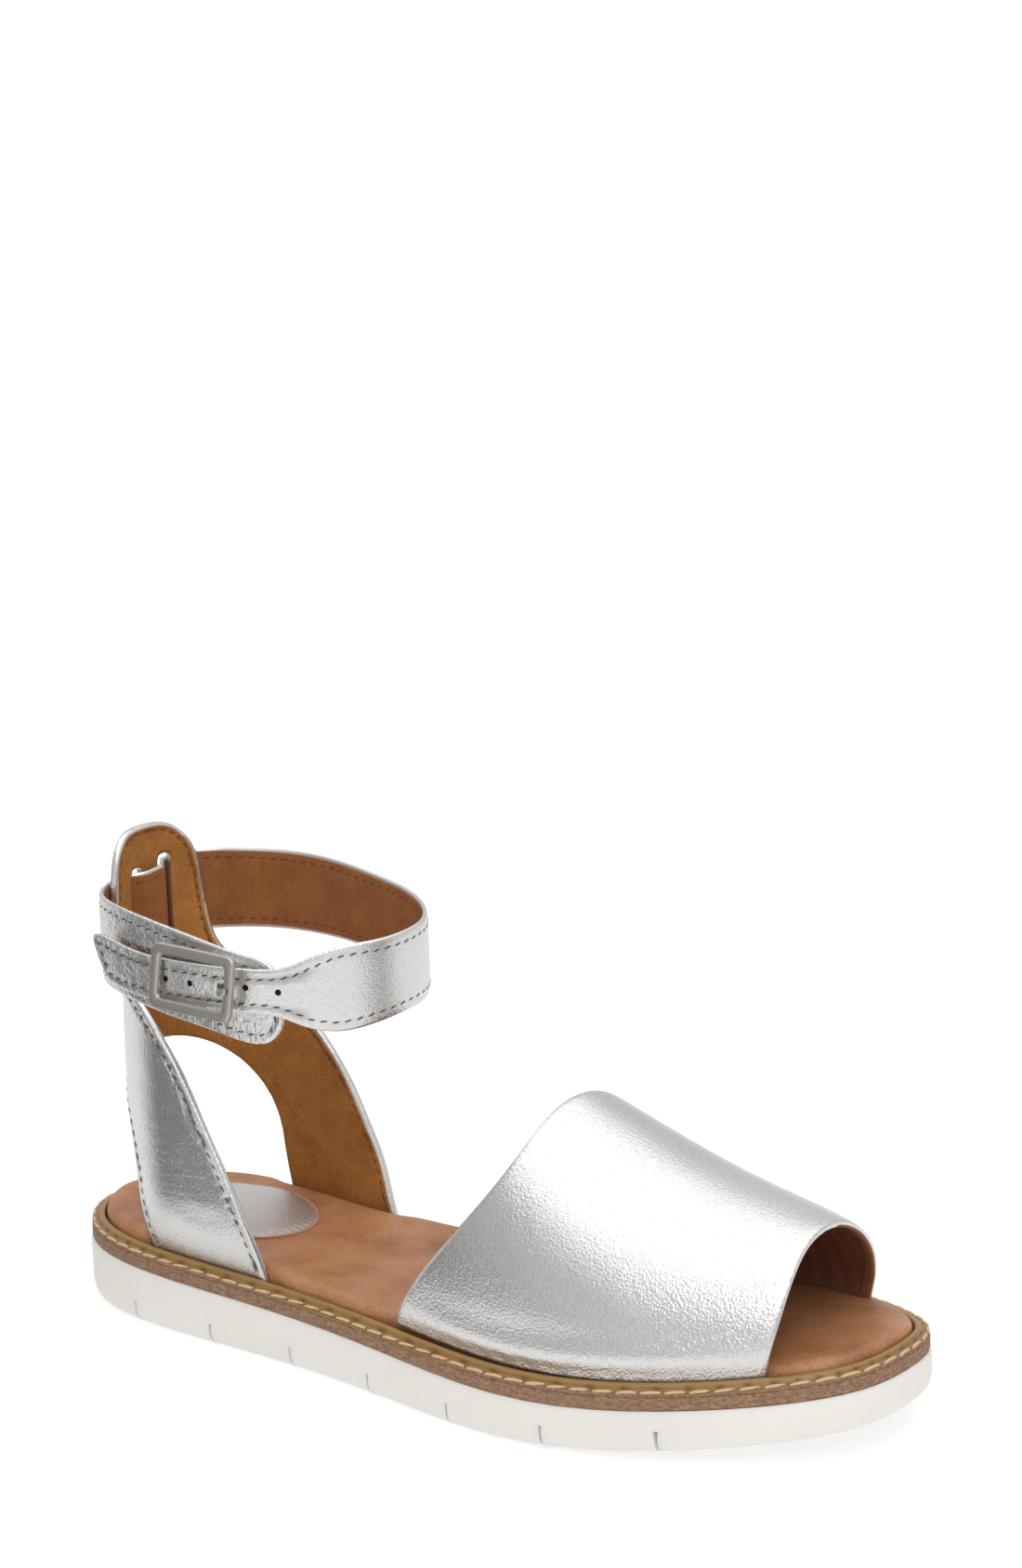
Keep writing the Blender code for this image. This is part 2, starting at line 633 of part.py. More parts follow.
def tab_run():
    """Outside one web, in through a slot, behind the bridge, out through the other slot, outside the web."""
    outside = GAP + 0.1 + STRAP_WALL / 2
    behind = -QUARTER_WALL - GAP - outside
    rows = []
    start, end = WEB_REACH
    for s in np.linspace(start, end, 2 * (end - start) + 1):
        turned = ease(abs(s - BRIDGE_MIDDLE), SLOT_INNER + SLOT_TURN[0], SLOT_OUTER + SLOT_TURN[1])
        out = behind + (outside - behind) * turned
        share = ease(s, start, end)
        low, high = (edge[0] + (edge[1] - edge[0]) * share for edge in (TAB_LOWER, TAB_UPPER))
        x, y, _ = heel_point(s, (low + high) / 2, out)
        rows.append((x, y, low, high))
    return rows


def strap_rows():
    run = tab_run()
    before = open_spline(BUCKLE_END + tuple(map(tuple, run[:3])), 5.0)
    after = open_spline(tuple(map(tuple, run[-3:])) + FRONT_RUN, 5.0)
    return np.vstack([before[:-1], run[3:-3], after[1:]])


def swept_strap(name, rows, wall, finish):
    """A flat strap on edge along rows of x, y, lower z and upper z, with eased corners."""
    centre = np.column_stack([rows[:, :2], rows[:, 2:].mean(1)])
    ahead = np.gradient(centre, axis=0)
    side = np.column_stack([ahead[:, 1], -ahead[:, 0], np.zeros(len(rows))])
    side /= np.linalg.norm(side, axis=1)[:, None]
    half, corner = wall / 2, STRAP_CORNER
    section = (
        (-half, 0, corner), (-half + corner, 0, 0), (half - corner, 0, 0), (half, 0, corner),
        (half, 1, -corner), (half - corner, 1, 0), (-half + corner, 1, 0), (-half, 1, -corner),
    )
    points, faces = [], []
    for middle, across, row in zip(centre, side, rows):
        for out, top, lift in section:
            place = middle + across * out
            points.append((place[0], place[1], (row[3] if top else row[2]) + lift))
    n = len(section)
    for r in range(len(rows) - 1):
        for i in range(n):
            j = (i + 1) % n
            faces.append((r * n + i, (r + 1) * n + i, (r + 1) * n + j, r * n + j))
    last = (len(rows) - 1) * n
    faces.append(tuple(range(n)))
    faces.append(tuple(last + i for i in reversed(range(n))))
    return add_object(name, points, faces, finish)


PRONG_HOLE = (-51.6, 99.4)   # x and z of the middle of the hole the prong comes through
PRONG_HOLE_SIZE = (4.0, 3.2)
PRONG_HOLE_DEPTH = (-39.5, -34.0)   # y range of its cutter, through the tongue only


def make_ankle_strap():
    silver = material("strap silver leather", (0.74, 0.74, 0.74), 0.32, 0.9)
    strap = swept_strap("ankle_strap", strap_rows(), STRAP_WALL, silver)
    x, z = PRONG_HOLE
    dx, dz = PRONG_HOLE_SIZE[0] / 2, PRONG_HOLE_SIZE[1] / 2
    front, back = PRONG_HOLE_DEPTH
    points = box_points((x - dx, front, z - dz), (x + dx, back, z + dz))
    cut(strap, add_object("hole cutter", points, box_faces(0), silver))


# Buckle: satin frame over the tongue, with its own hinge bar under it, and a prong
FRAME_MIDDLE = (-59.5, -39.2, 101.3)
FRAME_LENGTH = 28.0
FRAME_HEIGHT = 17.6
FRAME_BAR = 2.9
FRAME_DEPTH = 1.8
FRAME_CORNER = 2.6
FRAME_WINDOW_CORNER = 1.4
FRAME_EASE = 0.35        # rounding of its edges
FRAME_YAW = 1.0          # degrees, about the vertical
FRAME_PITCH = 3.0        # degrees, the front lower
FRAME_LEAN = -7.0        # degrees, the lower bar further out
CORNER_STEPS = 4


def rounded_rectangle(length, height, radius):
    points = []
    for k, (cx, cz) in enumerate(((1, 1), (-1, 1), (-1, -1), (1, -1))):
        for step in range(CORNER_STEPS + 1):
            angle = math.pi / 2 * (k + step / CORNER_STEPS)
            points.append(
                (cx * (length / 2 - radius) + radius * math.cos(angle),
                 cz * (height / 2 - radius) + radius * math.sin(angle))
            )
    return points


def turn(points):
    """Turn a flat drawing of the frame (along, out, up) to its place on the strap."""
    a, b, c = (math.radians(v) for v in (FRAME_YAW, FRAME_PITCH, FRAME_LEAN))
    pitch_turn = np.array([(math.cos(b), 0, math.sin(b)), (0, 1, 0), (-math.sin(b), 0, math.cos(b))])
    lean_turn = np.array([(1, 0, 0), (0, math.cos(c), -math.sin(c)), (0, math.sin(c), math.cos(c))])
    yaw_turn = np.array([(math.cos(a), -math.sin(a), 0), (math.sin(a), math.cos(a), 0), (0, 0, 1)])
    return points @ (yaw_turn @ lean_turn @ pitch_turn).T + FRAME_MIDDLE


def make_buckle_frame():
    metal = material("buckle satin nickel", (0.42, 0.41, 0.39), 0.45, 1.0)
    half, rounding = FRAME_DEPTH / 2, FRAME_EASE
    outer = (FRAME_LENGTH, FRAME_HEIGHT, FRAME_CORNER)
    inner = (FRAME_LENGTH - 2 * FRAME_BAR, FRAME_HEIGHT - 2 * FRAME_BAR, FRAME_WINDOW_CORNER)
    loops = []
    for (length, height, radius), sign in ((outer, -1), (inner, 1)):
        levels = ((rounding, -half), (0, -half + rounding), (0, half - rounding), (rounding, half))
        if sign > 0:
            levels = levels[::-1]
        for draw, depth in levels:
            size = rounded_rectangle(length + 2 * sign * draw, height + 2 * sign * draw, radius + sign * draw)
            loops.append([(x, depth, z) for x, z in size])
    total = len(loops[0])
    points = turn(np.vstack(loops))
    faces = []
    for r in range(len(loops)):
        low, high = r * total, ((r + 1) % len(loops)) * total
        for i in range(total):
            j = (i + 1) % total
            faces.append((low + j, low + i, high + i, high + j))
    add_object("buckle_frame", points, faces, metal)


# Prong: lies under the tongue, comes up through its hole and rests on the frame's front bar
PRONG_PATH = (
    # x, y, z of its middle
    (-66.0, -34.4, 99.0), (-58.0, -33.9, 99.0), (-53.4, -33.3, 99.2), (-52.2, -35.0, 99.4),
    (-51.2, -38.0, 99.6), (-50.0, -40.5, 99.9), (-48.6, -40.9, 100.2), (-46.6, -40.8, 100.6),
)
PRONG_HEIGHT = 2.0
PRONG_THICKNESS = 1.0


def make_buckle_prong():
    metal = material("prong satin nickel", (0.45, 0.44, 0.42), 0.4, 1.0)
    rows = [(x, y, z - PRONG_HEIGHT / 2, z + PRONG_HEIGHT / 2) for x, y, z in PRONG_PATH]
    swept_strap("buckle_prong", np.array(rows), PRONG_THICKNESS, metal)


make_outsole()
make_midsole()
make_welt()
make_footbed()
make_heel_sock()
make_toe_band()
make_heel_quarter()
make_ankle_strap()
make_buckle_frame()
make_buckle_prong()
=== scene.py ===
"""Ankle strap sandal, right foot: the finish of every piece, the floor, the light and the camera."""
import math

import bmesh
import bpy
import numpy as np
from mathutils import Matrix, Vector
from mathutils.bvhtree import BVHTree
from mathutils.kdtree import KDTree


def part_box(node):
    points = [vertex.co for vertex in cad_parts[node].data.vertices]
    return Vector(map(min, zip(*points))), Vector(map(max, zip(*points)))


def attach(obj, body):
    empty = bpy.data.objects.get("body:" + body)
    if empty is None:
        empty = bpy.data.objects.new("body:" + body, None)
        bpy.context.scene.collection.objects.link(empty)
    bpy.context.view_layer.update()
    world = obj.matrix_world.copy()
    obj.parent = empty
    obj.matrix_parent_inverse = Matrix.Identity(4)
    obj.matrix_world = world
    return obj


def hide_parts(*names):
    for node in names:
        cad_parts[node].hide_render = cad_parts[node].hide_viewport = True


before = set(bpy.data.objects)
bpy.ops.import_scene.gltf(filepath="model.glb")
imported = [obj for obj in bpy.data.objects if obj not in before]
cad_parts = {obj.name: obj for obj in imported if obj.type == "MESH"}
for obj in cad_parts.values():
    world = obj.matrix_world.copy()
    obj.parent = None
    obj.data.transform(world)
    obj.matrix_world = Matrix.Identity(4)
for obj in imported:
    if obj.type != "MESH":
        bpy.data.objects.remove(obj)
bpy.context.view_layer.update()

bpy.ops.object.select_all(action="DESELECT")
MM = 0.001


# Camera: stands off the outer side of the shoe, ahead of it and above the strap, and is rolled a
# little to the right, as in the photograph. The angles are turned from straight at the outer side.
CAMERA_TURN = math.radians(36.47)
CAMERA_TILT = math.radians(11.42)
CAMERA_ROLL = math.radians(1.95)
CAMERA_DISTANCE = 900 * MM
CAMERA_ASIDE = 13.4 * MM
CAMERA_RAISED = 148.6 * MM
CAMERA_LENS = 78.25       # for a sensor of 36 mm along the frame's long side

back = Vector((
    math.sin(CAMERA_TURN) * math.cos(CAMERA_TILT),
    -math.cos(CAMERA_TURN) * math.cos(CAMERA_TILT),
    math.sin(CAMERA_TILT),
))
aside = Vector((math.cos(CAMERA_TURN), math.sin(CAMERA_TURN), 0))
above = back.cross(aside)
right = math.cos(CAMERA_ROLL) * aside - math.sin(CAMERA_ROLL) * above
upright = math.sin(CAMERA_ROLL) * aside + math.cos(CAMERA_ROLL) * above
place = back * CAMERA_DISTANCE + aside * CAMERA_ASIDE + above * CAMERA_RAISED + Vector((0, 0.75 * MM, 0))
lens = bpy.data.cameras.new("camera")
lens.lens = CAMERA_LENS
lens.clip_start = 0.05
camera = bpy.data.objects.new("camera", lens)
bpy.context.scene.collection.objects.link(camera)
camera.matrix_world = Matrix((
    (right.x, upright.x, back.x, place.x),
    (right.y, upright.y, back.y, place.y),
    (right.z, upright.z, back.z, place.z),
    (0, 0, 0, 1),
))
bpy.context.scene.camera = camera
bpy.context.scene.view_settings.view_transform = "Standard"


# Floor and light: a white acrylic table lit from below and above, so that it comes out white with a
# faint shadow, a large soft box overhead and one above the camera. The silver shows a white room that
# is dark overhead, and two dark stands: one to the left of the camera, one far to its right.
FLOOR_SIZE = 60.0
FLOOR_COLOUR = "B4B4B4"
FLOOR_GLOW_NEAR = 0.60          # as the camera sees it
FLOOR_GLOW_FAR = 1.10
FLOOR_GLOW_SPREAD = (0.16, 0.45)
TABLE_GLOW = 0.55               # as the shoe is lit by it
STAND_FLOOR = 0.10
LEFT_STARTS = (0.12, 0.18)      # from the middle of the shoe
RIGHT_STARTS = (0.28, 0.40)
LEFT_STAND = (-0.788, -0.616, 0.0, 0.935, 0.985)     # its direction, and the cosines between which it fades in
RIGHT_STAND = (0.99, -0.14, 0.0, 0.93, 0.995)
TABLE_EDGE = (-0.25, -0.97, 0.0, 0.88, 0.98)
GREY_SIDE = (-0.73, -0.68, 0.0, 0.78, 0.92)
OVERHEAD_BOX = (1.80, 14.5)     # side in metres and power in watts
OVERHEAD_PLACE = (-0.04, 0.0, 1.15)    # towards the camera, aside and up
CAMERA_BOX = (0.70, 6.0)
CAMERA_BOX_PLACE = (1.15, 0.10, 1.00)
ROOM_WALL = 0.86
ROOM_STAND = 0.08
ROOM_GREY = 0.60
ROOM_EDGE = 0.30
ROOM_PATCHES = 7.0        # across the room
ROOM_UNEVEN = (0.62, 1.34)
ROOM_ABOVE = 0.10
ROOM_WHITE = 1.3


def from_hex(code):
    """An sRGB hex colour as linear RGBA."""
    parts = [int(code[i:i + 2], 16) / 255 for i in (0, 2, 4)]
    return (*[c / 12.92 if c <= 0.04045 else ((c + 0.055) / 1.055) ** 2.4 for c in parts], 1.0)


def add_node(tree, kind, sockets, **settings):
    """Add a node. A socket is given a value, or the output that it is linked from."""
    made = tree.nodes.new(kind)
    for name, value in settings.items():
        setattr(made, name, value)
    for name, value in sockets.items():
        if isinstance(value, bpy.types.NodeSocket):
            tree.links.new(value, made.inputs[name])
        else:
            made.inputs[name].default_value = value
    return made


def new_material(name):
    made = bpy.data.materials.new(name)
    made.use_nodes = True
    made.node_tree.nodes.clear()
    return made, made.node_tree


def surface(tree, sockets):
    """Close a material with its Principled shader."""
    shader = add_node(tree, "ShaderNodeBsdfPrincipled", sockets)
    add_node(tree, "ShaderNodeOutputMaterial", {"Surface": shader.outputs[0]})
    return shader


bpy.ops.mesh.primitive_plane_add(size=FLOOR_SIZE, location=(0, 0, 0))
floor = bpy.context.object
floor.name = "floor"
acrylic, tree = new_material("studio floor, white acrylic lit from below")
# the camera sees one white sheet, and the silver sees where the stands are
sight = add_node(tree, "ShaderNodeLightPath", {})
where = add_node(tree, "ShaderNodeTexCoord", {})
reach = add_node(tree, "ShaderNodeVectorMath", {0: where.outputs["Object"]}, operation="LENGTH")
ray = add_node(tree, "ShaderNodeVectorMath", {0: where.outputs["Object"]}, operation="NORMALIZE")


def stand_share(tree, direction, stand):
    """How far a direction lies within a stand."""
    along = add_node(tree, "ShaderNodeVectorMath", {0: direction, 1: stand[:3]}, operation="DOT_PRODUCT")
    return add_node(
        tree, "ShaderNodeMapRange", {"Value": along.outputs["Value"], 1: stand[3], 2: stand[4]},
        interpolation_type="SMOOTHSTEP",
    ).outputs[0]


def floor_stand(stand, starts_at):
    starts = add_node(
        tree, "ShaderNodeMapRange", {"Value": reach.outputs["Value"], 1: starts_at[0], 2: starts_at[1]},
        interpolation_type="SMOOTHSTEP",
    )
    share = stand_share(tree, ray.outputs[0], stand)
    return add_node(tree, "ShaderNodeMath", {0: starts.outputs[0], 1: share}, operation="MULTIPLY").outputs[0]


stands = add_node(
    tree, "ShaderNodeMath",
    {0: floor_stand(LEFT_STAND, LEFT_STARTS), 1: floor_stand(RIGHT_STAND, RIGHT_STARTS)}, operation="MAXIMUM"
)
lit = add_node(
    tree, "ShaderNodeMapRange", {"Value": stands.outputs[0], 3: TABLE_GLOW, 4: 0.0}
)
seen = add_node(
    tree, "ShaderNodeMapRange",
    {"Value": reach.outputs["Value"], 1: FLOOR_GLOW_SPREAD[0], 2: FLOOR_GLOW_SPREAD[1],
     3: FLOOR_GLOW_NEAR, 4: FLOOR_GLOW_FAR}, interpolation_type="SMOOTHSTEP",
)
glow = add_node(
    tree, "ShaderNodeMix", {0: sight.outputs["Is Camera Ray"], 2: lit.outputs[0], 3: seen.outputs[0]},
    data_type="FLOAT",
)
darkened = add_node(
    tree, "ShaderNodeMath", {0: sight.outputs["Is Camera Ray"], 1: 1.0}, operation="SUBTRACT"
)
shade = add_node(
    tree, "ShaderNodeMath", {0: darkened.outputs[0], 1: stands.outputs[0]}, operation="MULTIPLY"
)
sheet = add_node(
    tree, "ShaderNodeMapRange", {"Value": shade.outputs[0], 1: -1.0, 2: 0.0, 3: STAND_FLOOR, 4: from_hex(FLOOR_COLOUR)[0]}
)
surface(tree, {
    "Base Color": sheet.outputs[0], "Roughness": 0.9, "Specular IOR Level": 0.0,
    "Emission Color": (1, 1, 1, 1), "Emission Strength": glow.outputs[0],
})
floor.data.materials.append(acrylic)

camera_side = Vector((back.x, back.y, 0)).normalized()


def add_soft_box(name, size, power, spot, aim):
    """A square area light at spot, turned to aim."""
    light = bpy.data.lights.new(name, "AREA")
    light.size = size
    light.energy = power
    lamp = bpy.data.objects.new(name, light)
    bpy.context.scene.collection.objects.link(lamp)
    lamp.location = spot
    lamp.rotation_euler = (Vector(aim) - Vector(spot)).to_track_quat("-Z", "Y").to_euler()
    return lamp


for name, box, spot in (
    ("overhead soft box", OVERHEAD_BOX, OVERHEAD_PLACE),
    ("camera soft box", CAMERA_BOX, CAMERA_BOX_PLACE),
):
    toward_camera, to_the_side, up = spot
    add_soft_box(name, *box, camera_side * toward_camera + aside * to_the_side + Vector((0, 0, up)), (0, 0, 0.05))

world = bpy.data.worlds.new("studio room")
bpy.context.scene.world = world
world.use_nodes = True
tree = world.node_tree
tree.nodes.clear()
toward = add_node(tree, "ShaderNodeTexCoord", {})
height = add_node(tree, "ShaderNodeSeparateXYZ", {0: toward.outputs["Generated"]})
level = add_node(
    tree, "ShaderNodeVectorMath", {0: toward.outputs["Generated"], 1: (1, 1, 0)}, operation="MULTIPLY"
)
level = add_node(tree, "ShaderNodeVectorMath", {0: level.outputs[0]}, operation="NORMALIZE").outputs[0]
stands = add_node(
    tree, "ShaderNodeMath",
    {0: stand_share(tree, level, LEFT_STAND), 1: stand_share(tree, level, RIGHT_STAND)}, operation="MAXIMUM"
)
edge_walls = add_node(
    tree, "ShaderNodeMix", {0: stand_share(tree, level, TABLE_EDGE), 2: ROOM_WALL, 3: ROOM_EDGE}, data_type="FLOAT"
)
low_walls = add_node(
    tree, "ShaderNodeMix", {0: stands.outputs[0], 2: edge_walls.outputs[0], 3: ROOM_STAND}, data_type="FLOAT"
)
high_walls = add_node(
    tree, "ShaderNodeMix", {0: stand_share(tree, level, GREY_SIDE), 2: ROOM_WALL, 3: ROOM_GREY}, data_type="FLOAT"
)
raised = add_node(
    tree, "ShaderNodeMapRange", {"Value": height.outputs["Z"], 1: 0.02, 2: 0.18},
    interpolation_type="SMOOTHSTEP",
)
walls = add_node(
    tree, "ShaderNodeMix", {0: raised.outputs[0], 2: low_walls.outputs[0], 3: high_walls.outputs[0]},
    data_type="FLOAT",
)
ceiling = add_node(
    tree, "ShaderNodeMapRange", {"Value": height.outputs["Z"], 1: 0.66, 2: 0.80},
    interpolation_type="SMOOTHSTEP",
)
room = add_node(
    tree, "ShaderNodeMix", {0: ceiling.outputs[0], 2: walls.outputs[0], 3: ROOM_ABOVE}, data_type="FLOAT"
)
clutter = add_node(
    tree, "ShaderNodeTexNoise", {"Vector": toward.outputs["Generated"], "Scale": ROOM_PATCHES, "Detail": 2.0}
)
uneven = add_node(
    tree, "ShaderNodeMapRange", {"Value": clutter.outputs[0], 1: 0.35, 2: 0.65, 3: ROOM_UNEVEN[0], 4: ROOM_UNEVEN[1]}
)
furnished = add_node(tree, "ShaderNodeMath", {0: room.outputs[0], 1: uneven.outputs[0]}, operation="MULTIPLY")
sight = add_node(tree, "ShaderNodeLightPath", {})
seen = add_node(
    tree, "ShaderNodeMix", {0: sight.outputs["Is Camera Ray"], 2: furnished.outputs[0], 3: ROOM_WHITE},
    data_type="FLOAT",
)
glow = add_node(tree, "ShaderNodeBackground", {"Strength": seen.outputs[0]})
add_node(tree, "ShaderNodeOutputWorld", {"Surface": glow.outputs[0]})


# Outsole: one platform moulded from white EVA foam rubber, with a smooth wall, a rounded bottom edge
# and narrow cuts across the tread. The midsole and welt are cemented on top of it.
OUTSOLE_WHITE = "EBE8E3"
OUTSOLE_SHADE = "E3DFD8"
MERGE = 0.02 * MM
CUT_FIRST = -92.5 * MM
CUT_STEP = 29.3 * MM
CUT_NEAR = 0.7 * MM
CUT_CLOSED = 0.6
GLUE_GAP = 0.3 * MM       # the joint that the parts leave, which real glue fills

eva, tree = new_material("outsole, moulded white foam rubber")
# moulded foam is matt, with a fine skin, and light goes a little way into it and fills its cuts
where = add_node(tree, "ShaderNodeTexCoord", {})
cloud = add_node(
    tree, "ShaderNodeTexNoise",
    {"Vector": where.outputs["Object"], "Scale": 1 / (30 * MM), "Detail": 2.0},
)
tone = add_node(
    tree, "ShaderNodeMix",
    {0: cloud.outputs[0], 6: from_hex(OUTSOLE_WHITE), 7: from_hex(OUTSOLE_SHADE)}, data_type="RGBA",
)
skin = add_node(
    tree, "ShaderNodeTexNoise",
    {"Vector": where.outputs["Object"], "Scale": 1 / (0.7 * MM), "Detail": 2.0},
)
pores = add_node(
    tree, "ShaderNodeBump", {"Height": skin.outputs[0], "Distance": 0.02 * MM, "Strength": 1.0}
)
surface(tree, {
    "Base Color": tone.outputs[2], "Roughness": 0.5, "Normal": pores.outputs[0],
    "Subsurface Weight": 0.5, "Subsurface Radius": (4.0, 3.7, 3.3), "Subsurface Scale": 1.0 * MM,
})


def copy_node(node, name):
    """A loose copy of a CAD node's mesh, merged, with its triangles paired to quads."""
    bpy.ops.object.select_all(action="DESELECT")
    piece = bpy.data.objects.new(name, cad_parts[node].data.copy())
    bpy.context.scene.collection.objects.link(piece)
    piece.data.materials.clear()
    piece.select_set(True)
    bpy.context.view_layer.objects.active = piece
    bpy.ops.mesh.customdata_custom_splitnormals_clear()
    bpy.ops.object.mode_set(mode="EDIT")
    bpy.ops.mesh.select_all(action="SELECT")
    bpy.ops.mesh.remove_doubles(threshold=MERGE)
    bpy.ops.mesh.tris_convert_to_quads(face_threshold=math.radians(30), shape_threshold=math.radians(60))
    bpy.ops.object.mode_set(mode="OBJECT")
    return piece


def refine(piece, sharp_above, crease, levels, kept=None):
    """Crease the edges sharper than sharp_above degrees, subdivide and shade smooth. The lines kept stay put."""
    shape = bmesh.new()
    shape.from_mesh(piece.data)
    layer = shape.edges.layers.float.new("crease_edge")
    for edge in shape.edges:
        if edge.calc_face_angle(0) > math.radians(sharp_above):
            on_kept = kept and all(kept.find(vertex.co)[2] < MERGE for vertex in edge.verts)
            edge[layer] = 1.0 if on_kept else crease
    shape.to_mesh(piece.data)
    shape.free()
    modifier = piece.modifiers.new("smooth", "SUBSURF")
    modifier.levels = modifier.render_levels = levels
    bpy.context.view_layer.objects.active = piece
    bpy.ops.object.modifier_apply(modifier=modifier.name)
    piece.data.shade_smooth()


def hang_on_root(piece, slot, *nodes):
    """Fix a finished piece to the one body, in place of its CAD nodes."""
    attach(piece, "root")
    if nodes:
        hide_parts(*nodes)


outsole = copy_node("outsole", "outsole_platform")
# the foam closes up round its cuts
for vertex in outsole.data.vertices:
    middle = CUT_FIRST + round((vertex.co.x - CUT_FIRST) / CUT_STEP) * CUT_STEP
    if abs(vertex.co.x - middle) < CUT_NEAR and vertex.co.z < 8 * MM:
        vertex.co.x = middle + (vertex.co.x - middle) * CUT_CLOSED
outsole.data.materials.append(eva)
outsole.data.shade_smooth()
outsole.data.set_sharp_from_angle(angle=math.radians(35))
hang_on_root(outsole, "outsole_rubber", "outsole")


# Midsole: a thin sheet of brown leather fibre board between the outsole and the welt, sanded flush.
# Its edge is raw and dull, with pale and dark fibres along it, and the welt's edge is sanded with it.
MIDSOLE_BROWN = "8E6C52"
MIDSOLE_DARK = "71533F"
MIDSOLE_PALE = "AC8E74"

board, tree = new_material("midsole and welt edge, sanded leather fibre board")
where = add_node(tree, "ShaderNodeTexCoord", {})
# fibres lie flat, so the pattern is squeezed in height
lying = add_node(
    tree, "ShaderNodeMapping", {"Vector": where.outputs["Object"], "Scale": (1, 1, 2.6)}
)
fibres = add_node(
    tree, "ShaderNodeTexNoise",
    {"Vector": lying.outputs[0], "Scale": 1 / (1.3 * MM), "Detail": 4.0, "Roughness": 0.72},
)
ramp = add_node(tree, "ShaderNodeValToRGB", {"Fac": fibres.outputs[0]})
ramp.color_ramp.elements[0].position = 0.33
ramp.color_ramp.elements[0].color = from_hex(MIDSOLE_DARK)
ramp.color_ramp.elements[1].position = 0.68
ramp.color_ramp.elements[1].color = from_hex(MIDSOLE_PALE)
middle = ramp.color_ramp.elements.new(0.5)
middle.color = from_hex(MIDSOLE_BROWN)
nap = add_node(
    tree, "ShaderNodeBump", {"Height": fibres.outputs[0], "Distance": 0.16 * MM, "Strength": 1.0}
)
surface(tree, {"Base Color": ramp.outputs[0], "Roughness": 0.85, "Normal": nap.outputs[0]})

midsole = copy_node("midsole", "midsole_board")
# its faces meet the outsole and the welt, as if glued
for vertex in midsole.data.vertices:
    vertex.co.z += math.copysign(GLUE_GAP, vertex.normal.z) if abs(vertex.normal.z) > 0.2 else 0
midsole.data.materials.append(board)
midsole.data.shade_smooth()
midsole.data.set_sharp_from_angle(angle=math.radians(35))
hang_on_root(midsole, "midsole_board", "midsole")


# Welt: a strip of waxed tan leather laid round the edge, with a rounded bead along its inner side.
# It is sewn down through the midsole with one row of long cream lock stitches at its outer corner.
WELT_TAN = "86622E"
WELT_LIGHT = "9E783C"
# painted shade along the stitch line and in the groove by the bead
WELT_GROOVE_SHADE = "5E4318"
WELT_THREAD = "E2C49C"
WELT_THREAD_DEEP = "BD9668"
WELT_STITCH_PITCH = 6.1 * MM
WELT_STITCH_LENGTH = 5.3 * MM
WELT_STITCH_THICK = 0.95 * MM
WELT_STITCH_INSET = 0.25 * MM    # from the ledge's outer edge
WELT_STITCH_WAVE = 0.18 * MM
WELT_EDGE_REACH = 1.5 * MM


def face_rims(piece, side):
    """The closed lines round the faces of one material index, each as places and face normals."""
    shape = bmesh.new()
    shape.from_mesh(piece.data)
    shape.verts.ensure_lookup_table()
    ahead = {}
    for face in shape.faces:
        if face.material_index == side:
            for corner in face.loops:
                if corner.link_loop_radial_next.face.material_index != side:
                    ahead[corner.vert.index] = corner.link_loop_next.vert.index
    lines = []
    while ahead:
        start = next(iter(ahead))
        line = [start]
        while line[-1] in ahead:
            line.append(ahead.pop(line[-1]))
        line = line[:-1]
        places, normals = [], []
        for index in line:
            vertex = shape.verts[index]
            out = sum((f.normal for f in vertex.link_faces if f.material_index == side), Vector())
            places.append(vertex.co.copy())
            normals.append(out.normalized())
        lines.append((np.array(places), np.array(normals)))
    shape.free()
    return lines


def inset_line(places, normals, inset, spacing):
    """A closed line drawn in from a rim along the face, at even spacing."""
    along = np.roll(places, -1, 0) - np.roll(places, 1, 0)
    inward = np.cross(normals, along)
    inward /= np.linalg.norm(inward, axis=1)[:, None]
    line = places + inward * inset
    line = np.vstack([line, line[:1]])
    pace = np.concatenate([[0], np.cumsum(np.linalg.norm(np.diff(line, axis=0), axis=1))])
    stops = np.linspace(0, pace[-1], max(4, round(pace[-1] / spacing)), endpoint=False)
    return np.column_stack([np.interp(stops, pace, line[:, i]) for i in range(3)])


def thread_shape():
    """One stitch: a slim capsule of unit length along X and unit thickness, bowed up in the middle."""
    bpy.ops.mesh.primitive_uv_sphere_add(segments=7, ring_count=6, radius=0.5)
    model = bpy.context.object
    points = np.array([v.co for v in model.data.vertices])
    points = points[:, [2, 0, 1]]
    fuller = np.clip(1 - (2 * points[:, 0]) ** 2, 0.02, 1) ** -0.28
    points[:, 1:] *= fuller[:, None]
    points[:, 2] += 0.28 * (1 - (2 * points[:, 0]) ** 2)
    faces = [tuple(p.vertices) for p in model.data.polygons]
    bpy.data.objects.remove(model)
    return points, faces


THREAD_POINTS, THREAD_FACES = thread_shape()
THREAD_SUNK = 0.28      # of its thickness, pulled into the leather


